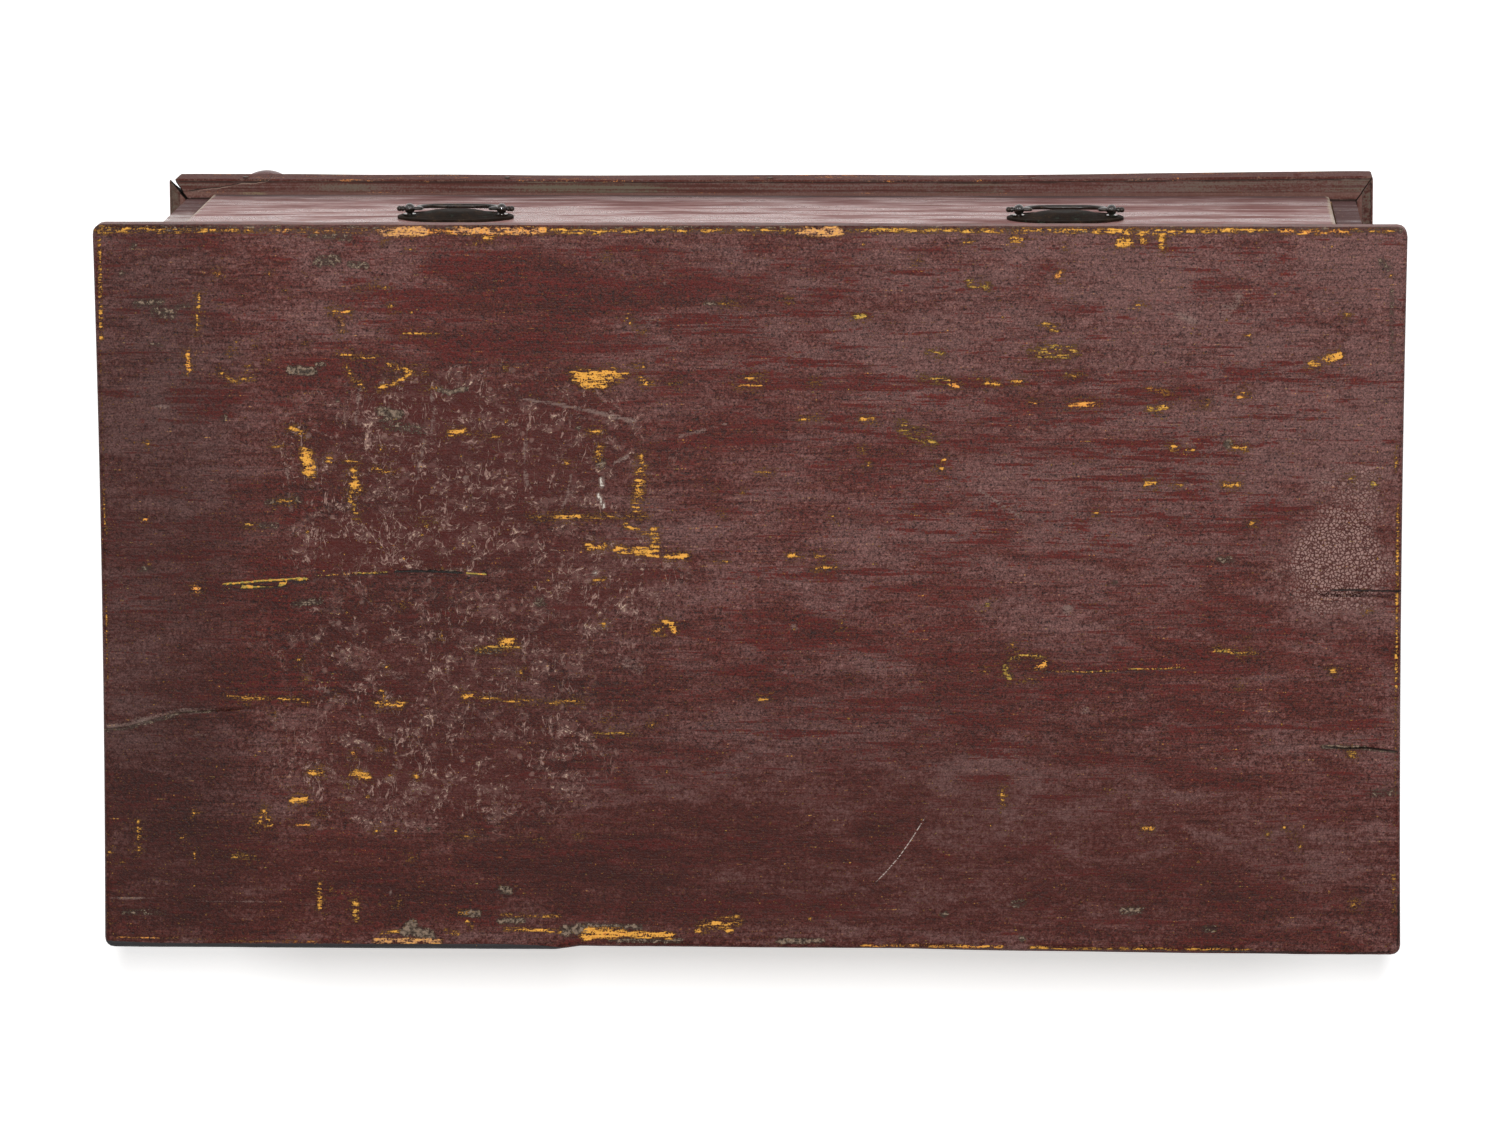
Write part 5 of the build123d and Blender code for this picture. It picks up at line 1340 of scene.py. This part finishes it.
plate_rings, plate_turns = 30, 120
plate_thickness, plate_dome, plate_rim, plate_ring_height = 1.5 * mm, 5.5 * mm, 1.1 * mm, 0.35 * mm
plate_ring_places, plate_ring_width = (0.62, 0.74, 0.86), 0.012
plate_rim_rise, plate_rim_fall, plate_rim_loss = (0.91, 0.93), (0.985, 1.0), 0.6
plate_dome_fall = (0.3, 0.92)


def plate_profile(share):
    """How far the plate's face stands from the drawer front, from the rim at 1 to the middle at 0."""
    rim = plate_rim * fade(share, *plate_rim_rise) * (1 - fade(share, *plate_rim_fall) * plate_rim_loss)
    dome = plate_dome * (1 - fade(share, *plate_dome_fall))
    rings = sum(np.exp(-(((share - place) / plate_ring_width) ** 2)) for place in plate_ring_places)
    return plate_thickness + rim + dome + plate_ring_height * rings


def make_plate(node):
    low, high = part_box(node)
    middle = (np.array(low) + np.array(high)) / 2
    half = (np.array(high) - np.array(low)) / 2
    shares = np.linspace(0, 1, plate_rings + 1)
    rise = np.r_[plate_profile(shares), 0.0]
    shares = np.r_[shares, 1.0]
    turns = np.linspace(0, 2 * math.pi, plate_turns, endpoint=False)
    x = middle[0] + half[0] * np.outer(shares, np.cos(turns))
    y = high.y - np.repeat(rise[:, None], plate_turns, axis=1)
    z = middle[2] + half[2] * np.outer(shares, np.sin(turns))
    vertices = np.stack([x, y, z], axis=-1).reshape(-1, 3)[plate_turns - 1 :]
    rings = np.arange(1, len(vertices)).reshape(-1, plate_turns)
    faces = [(0, a, b) for a, b in zip(rings[0], np.roll(rings[0], -1))]
    faces += ring_faces(rings).tolist() + [rings[-1, ::-1].tolist()]
    mesh = closed_mesh(node + "_domed", vertices, faces)
    return link_mesh(node + "_domed", mesh, handle_sharp_angle)


# Bails: a wire that swells towards its grip, hangs back towards the drawer and ends in buttons; millimetres

bail_sides = 16
bail_curve_steps = 24
bail_leans = {"handle_bail_left": 3.1, "handle_bail_right": 2.9}
bail_bends = np.array([(-50.25, 0), (-42, 0), (-33, 0), (-27.5, 0), (-36.5, -25), (-25, -44.5), (0, -44.5)])
bail_button_radius, bail_collar_radius, bail_pin_radius = 2.4, 2.3, 1.5
bail_button_end, bail_collar_end, bail_pin_end = 4.2, 6.2, 15.8
bail_neck_radius, bail_grip_radius = 1.35, 2.15
bail_fine_step, bail_step = 0.3, 1.2


def smooth_route(points):
    """Places along a curve that runs from the first point to the last and bends towards the others."""
    joints = np.r_[points[:1], (points[1:-2] + points[2:-1]) / 2, points[-1:]]
    share = np.linspace(0, 1, bail_curve_steps, endpoint=False)[:, None]
    bends = zip(joints, points[1:-1], joints[1:])
    arcs = [(1 - share) ** 2 * a + 2 * share * (1 - share) * b + share**2 * c for a, b, c in bends]
    return np.concatenate(arcs + [points[-1:]])


def bail_radius(from_end, half_length):
    """The wire's radius, in millimetres, by the distance along it from its nearer end."""
    button = np.sqrt(np.clip(bail_button_radius**2 - (from_end - bail_button_radius) ** 2, 0.3, None))
    swell = fade(from_end, bail_pin_end, half_length)
    wire = bail_neck_radius + (bail_grip_radius - bail_neck_radius) * swell
    turned = np.where(from_end < bail_collar_end, bail_collar_radius, bail_pin_radius)
    turned = np.where(from_end < bail_button_end, button, turned)
    return np.where(from_end < bail_pin_end, turned, wire)


def bail_stations(length):
    """Distances along the wire, close together at its turned ends."""
    ends = np.arange(0.1, bail_collar_end + 0.4, bail_fine_step)
    first_half = np.r_[ends, np.arange(bail_collar_end + 1, length / 2, bail_step)]
    return np.r_[first_half, length / 2, (length - first_half)[::-1]]


def make_bail(node):
    low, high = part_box(node)
    route = smooth_route(np.r_[bail_bends, bail_bends[-2::-1] * (-1, 1)])
    passed = np.r_[0, np.cumsum(np.hypot(*np.diff(route, axis=0).T))]
    stations = bail_stations(passed[-1])
    centre = np.c_[np.interp(stations, passed, route[:, 0]), np.interp(stations, passed, route[:, 1])]
    along = np.gradient(centre, axis=0)
    along /= np.hypot(along[:, 0], along[:, 1])[:, None]
    radius = bail_radius(np.minimum(stations, passed[-1] - stations), passed[-1] / 2)
    turns = np.linspace(0, 2 * math.pi, bail_sides, endpoint=False)
    across, out = np.outer(radius, np.cos(turns)), np.outer(radius, np.sin(turns))
    x = centre[:, :1] - along[:, 1:] * across
    z = centre[:, 1:] + along[:, :1] * across
    lean = bail_leans[node] * np.clip(centre[:, 1:] / bail_bends[-1, 1], 0, 1)
    rings = np.stack([x, out + lean, z], axis=-1).reshape(-1, 3)
    tips = [(centre[0, 0] - 0.1, 0, 0), (centre[-1, 0] + 0.1, 0, 0)]
    pivot = np.array([(low.x + high.x) / 2, (low.y + high.y) / 2, high.z - bail_button_radius * mm])
    index = np.arange(len(rings)).reshape(-1, bail_sides)
    after = np.roll(index, -1, axis=1)
    faces = ring_faces(index).tolist()
    faces += [(len(rings), b, a) for a, b in zip(index[0], after[0])]
    faces += [(len(rings) + 1, a, b) for a, b in zip(index[-1], after[-1])]
    mesh = closed_mesh(node + "_turned", np.concatenate([rings, tips]) * mm + pivot, faces)
    return link_mesh(node + "_turned", mesh, handle_sharp_angle)


# Every piece gets its finish

def finish_cad_pieces():
    """Finishes of the pieces that keep their CAD shapes, by the start of their names."""
    paint_depth = 0.5 * mm
    drawer_faces = [(1, -1, drawer_low.y + 5 * mm)]
    front_faces = [(1, -1, case_front_y + paint_depth)]
    side_faces = [(0, 1, case_half_x - paint_depth), (0, -1, -case_half_x + paint_depth), *front_faces]
    drawer_face_paint = painted_outside("drawer_face_paint", 0, drawer_faces, 0.3, lay_pale_ends)
    side_paint = painted_outside("side_paint", 1, side_faces, 0.08, lay_dull_fronts)
    rail_paint = painted_outside("rail_paint", 0, front_faces, 0.1)
    foot_paint = painted_outside("foot_paint", 2, [(2, -1, 0.2)])
    case_pine_x = bare_pine("case_pine_across", 0, 1, 0.25)
    case_pine_y = bare_pine("case_pine_along", 1, 0, 0.2)
    block_pine = bare_pine("block_pine", 2, 0, 0.15)
    back_pine = bare_pine("back_pine", 0, 2, 0.4)
    drawer_pine_x = bare_pine("drawer_pine_across", 0, 1)
    drawer_pine_y = bare_pine("drawer_pine_along", 1, 0)
    bronze_worn = bronze("bronze_handled", 0.5, 1.0)
    rusty_iron = iron()
    finishes = (
        ("drawer_front", drawer_face_paint), ("side_board", side_paint), ("bottom_rail_front", rail_paint),
        ("top_rail_front", rail_paint), ("foot_block", block_pine), ("foot_", foot_paint),
        ("back_board", back_pine), ("back_nails", rusty_iron), ("bottom_board", case_pine_x),
        ("top_rail_rear", case_pine_x), ("drawer_back", drawer_pine_x), ("drawer_bottom", drawer_pine_x),
        ("drawer_side", drawer_pine_y), ("drawer_nails", rusty_iron), ("drawer_stops", drawer_pine_x),
        ("glue_blocks", block_pine), ("handle_nuts", rusty_iron), ("handle_", bronze_worn),
        ("kicker", case_pine_y), ("runner", case_pine_y), ("moulding_nails", rusty_iron),
        ("top_dowels", block_pine), ("top_screws", rusty_iron),
    )
    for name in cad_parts:
        found = [finish for start, finish in finishes if name.startswith(start)]
        if found:
            paint(bpy.data.objects[name], found[0])


finish_cad_pieces()
make_mouldings()
bronze_bail = bronze("bronze_bail", 0.3, 0.45)
bronze_plate = bronze("bronze_plate", -0.08, 0.12)
for word in ("left", "right"):
    dress(make_plate(f"handle_plate_{word}"), f"handle_plate_{word}", "drawer", bronze_plate)
    dress(make_bail(f"handle_bail_{word}"), f"handle_bail_{word}", f"bail_{word}", bronze_bail)
top_finish = top_paint()
for board_name, board_side in (("top_board_front", -1), ("top_board_rear", 1)):
    dress(make_top_board(board_name + "_worn", board_side), board_name, "case", top_finish)


# Studio: pale floor, two soft boxes in front and a lamp high above, so that the shadow lies behind the chest

floor_half = 14.0
floor_glow = 0.44
ambient_strength = 0.45
lamp_aim = Vector((0, 0, 0.4))
floor_grey = (0.86, 0.86, 0.86, 1)


def make_floor():
    """A pale floor that keeps the shadow and is clear from below."""
    mesh = bpy.data.meshes.new("floor")
    corners = [(-floor_half, -floor_half, 0), (floor_half, -floor_half, 0), (floor_half, floor_half, 0)]
    mesh.from_pydata(corners + [(-floor_half, floor_half, 0)], [], [(0, 1, 2, 3)])
    floor = bpy.data.objects.new("floor", mesh)
    bpy.context.scene.collection.objects.link(floor)
    look = Finish("floor_white")
    shader = look.node("ShaderNodeBsdfDiffuse", {"Color": floor_grey})
    strength = look.product(look.seen_directly(), floor_glow)
    glow = look.node("ShaderNodeEmission", {"Color": (1, 1, 1, 1), "Strength": strength})
    both = look.node("ShaderNodeAddShader", {0: shader.outputs[0], 1: glow.outputs[0]}).outputs[0]
    below = look.node("ShaderNodeNewGeometry").outputs["Backfacing"]
    clear = look.node("ShaderNodeBsdfTransparent").outputs[0]
    shown = look.node("ShaderNodeMixShader", {0: below, 1: both, 2: clear}).outputs[0]
    look.end("ShaderNodeOutputMaterial", shown)
    mesh.materials.append(look.material)


def make_lamp(name, place, size, watts):
    """A soft box that faces the chest's top."""
    light = bpy.data.lights.new(name, "AREA")
    light.shape = "RECTANGLE"
    light.size, light.size_y = size
    light.energy = watts
    lamp = bpy.data.objects.new(name, light)
    bpy.context.scene.collection.objects.link(lamp)
    lamp.location = place
    lamp.rotation_euler = (lamp_aim - Vector(place)).to_track_quat("-Z", "Y").to_euler()
    lamp.visible_camera = False


def make_world():
    world = bpy.data.worlds.new("studio")
    bpy.context.scene.world = world
    world.use_nodes = True
    nodes = Nodes(world.node_tree)
    strength = nodes.ease(nodes.seen_directly(), 0.0, 1.0, ambient_strength, 1.0)
    nodes.end("ShaderNodeOutputWorld", nodes.node("ShaderNodeBackground", {"Strength": strength}).outputs[0])


def make_camera():
    data = bpy.data.cameras.new("camera")
    data.sensor_width = sensor_width
    data.lens = sensor_width * focal_pixels / photo_width
    data.clip_start, data.clip_end = 0.1, 60
    camera = bpy.data.objects.new("camera", data)
    bpy.context.scene.collection.objects.link(camera)
    camera.location = camera_place
    camera.rotation_euler = camera_turn
    bpy.context.scene.camera = camera


make_floor()
make_world()
make_lamp("soft_box_left", (-1.5, -2.4, 2.9), (1.4, 1.0), 25.5)
make_lamp("soft_box_right", (1.5, -2.4, 2.9), (1.4, 1.0), 31)
make_lamp("soft_box_above", (-0.36, -1.7, 8.0), (0.3, 0.6), 333)
make_camera()
bpy.context.scene.view_settings.view_transform = "Standard"
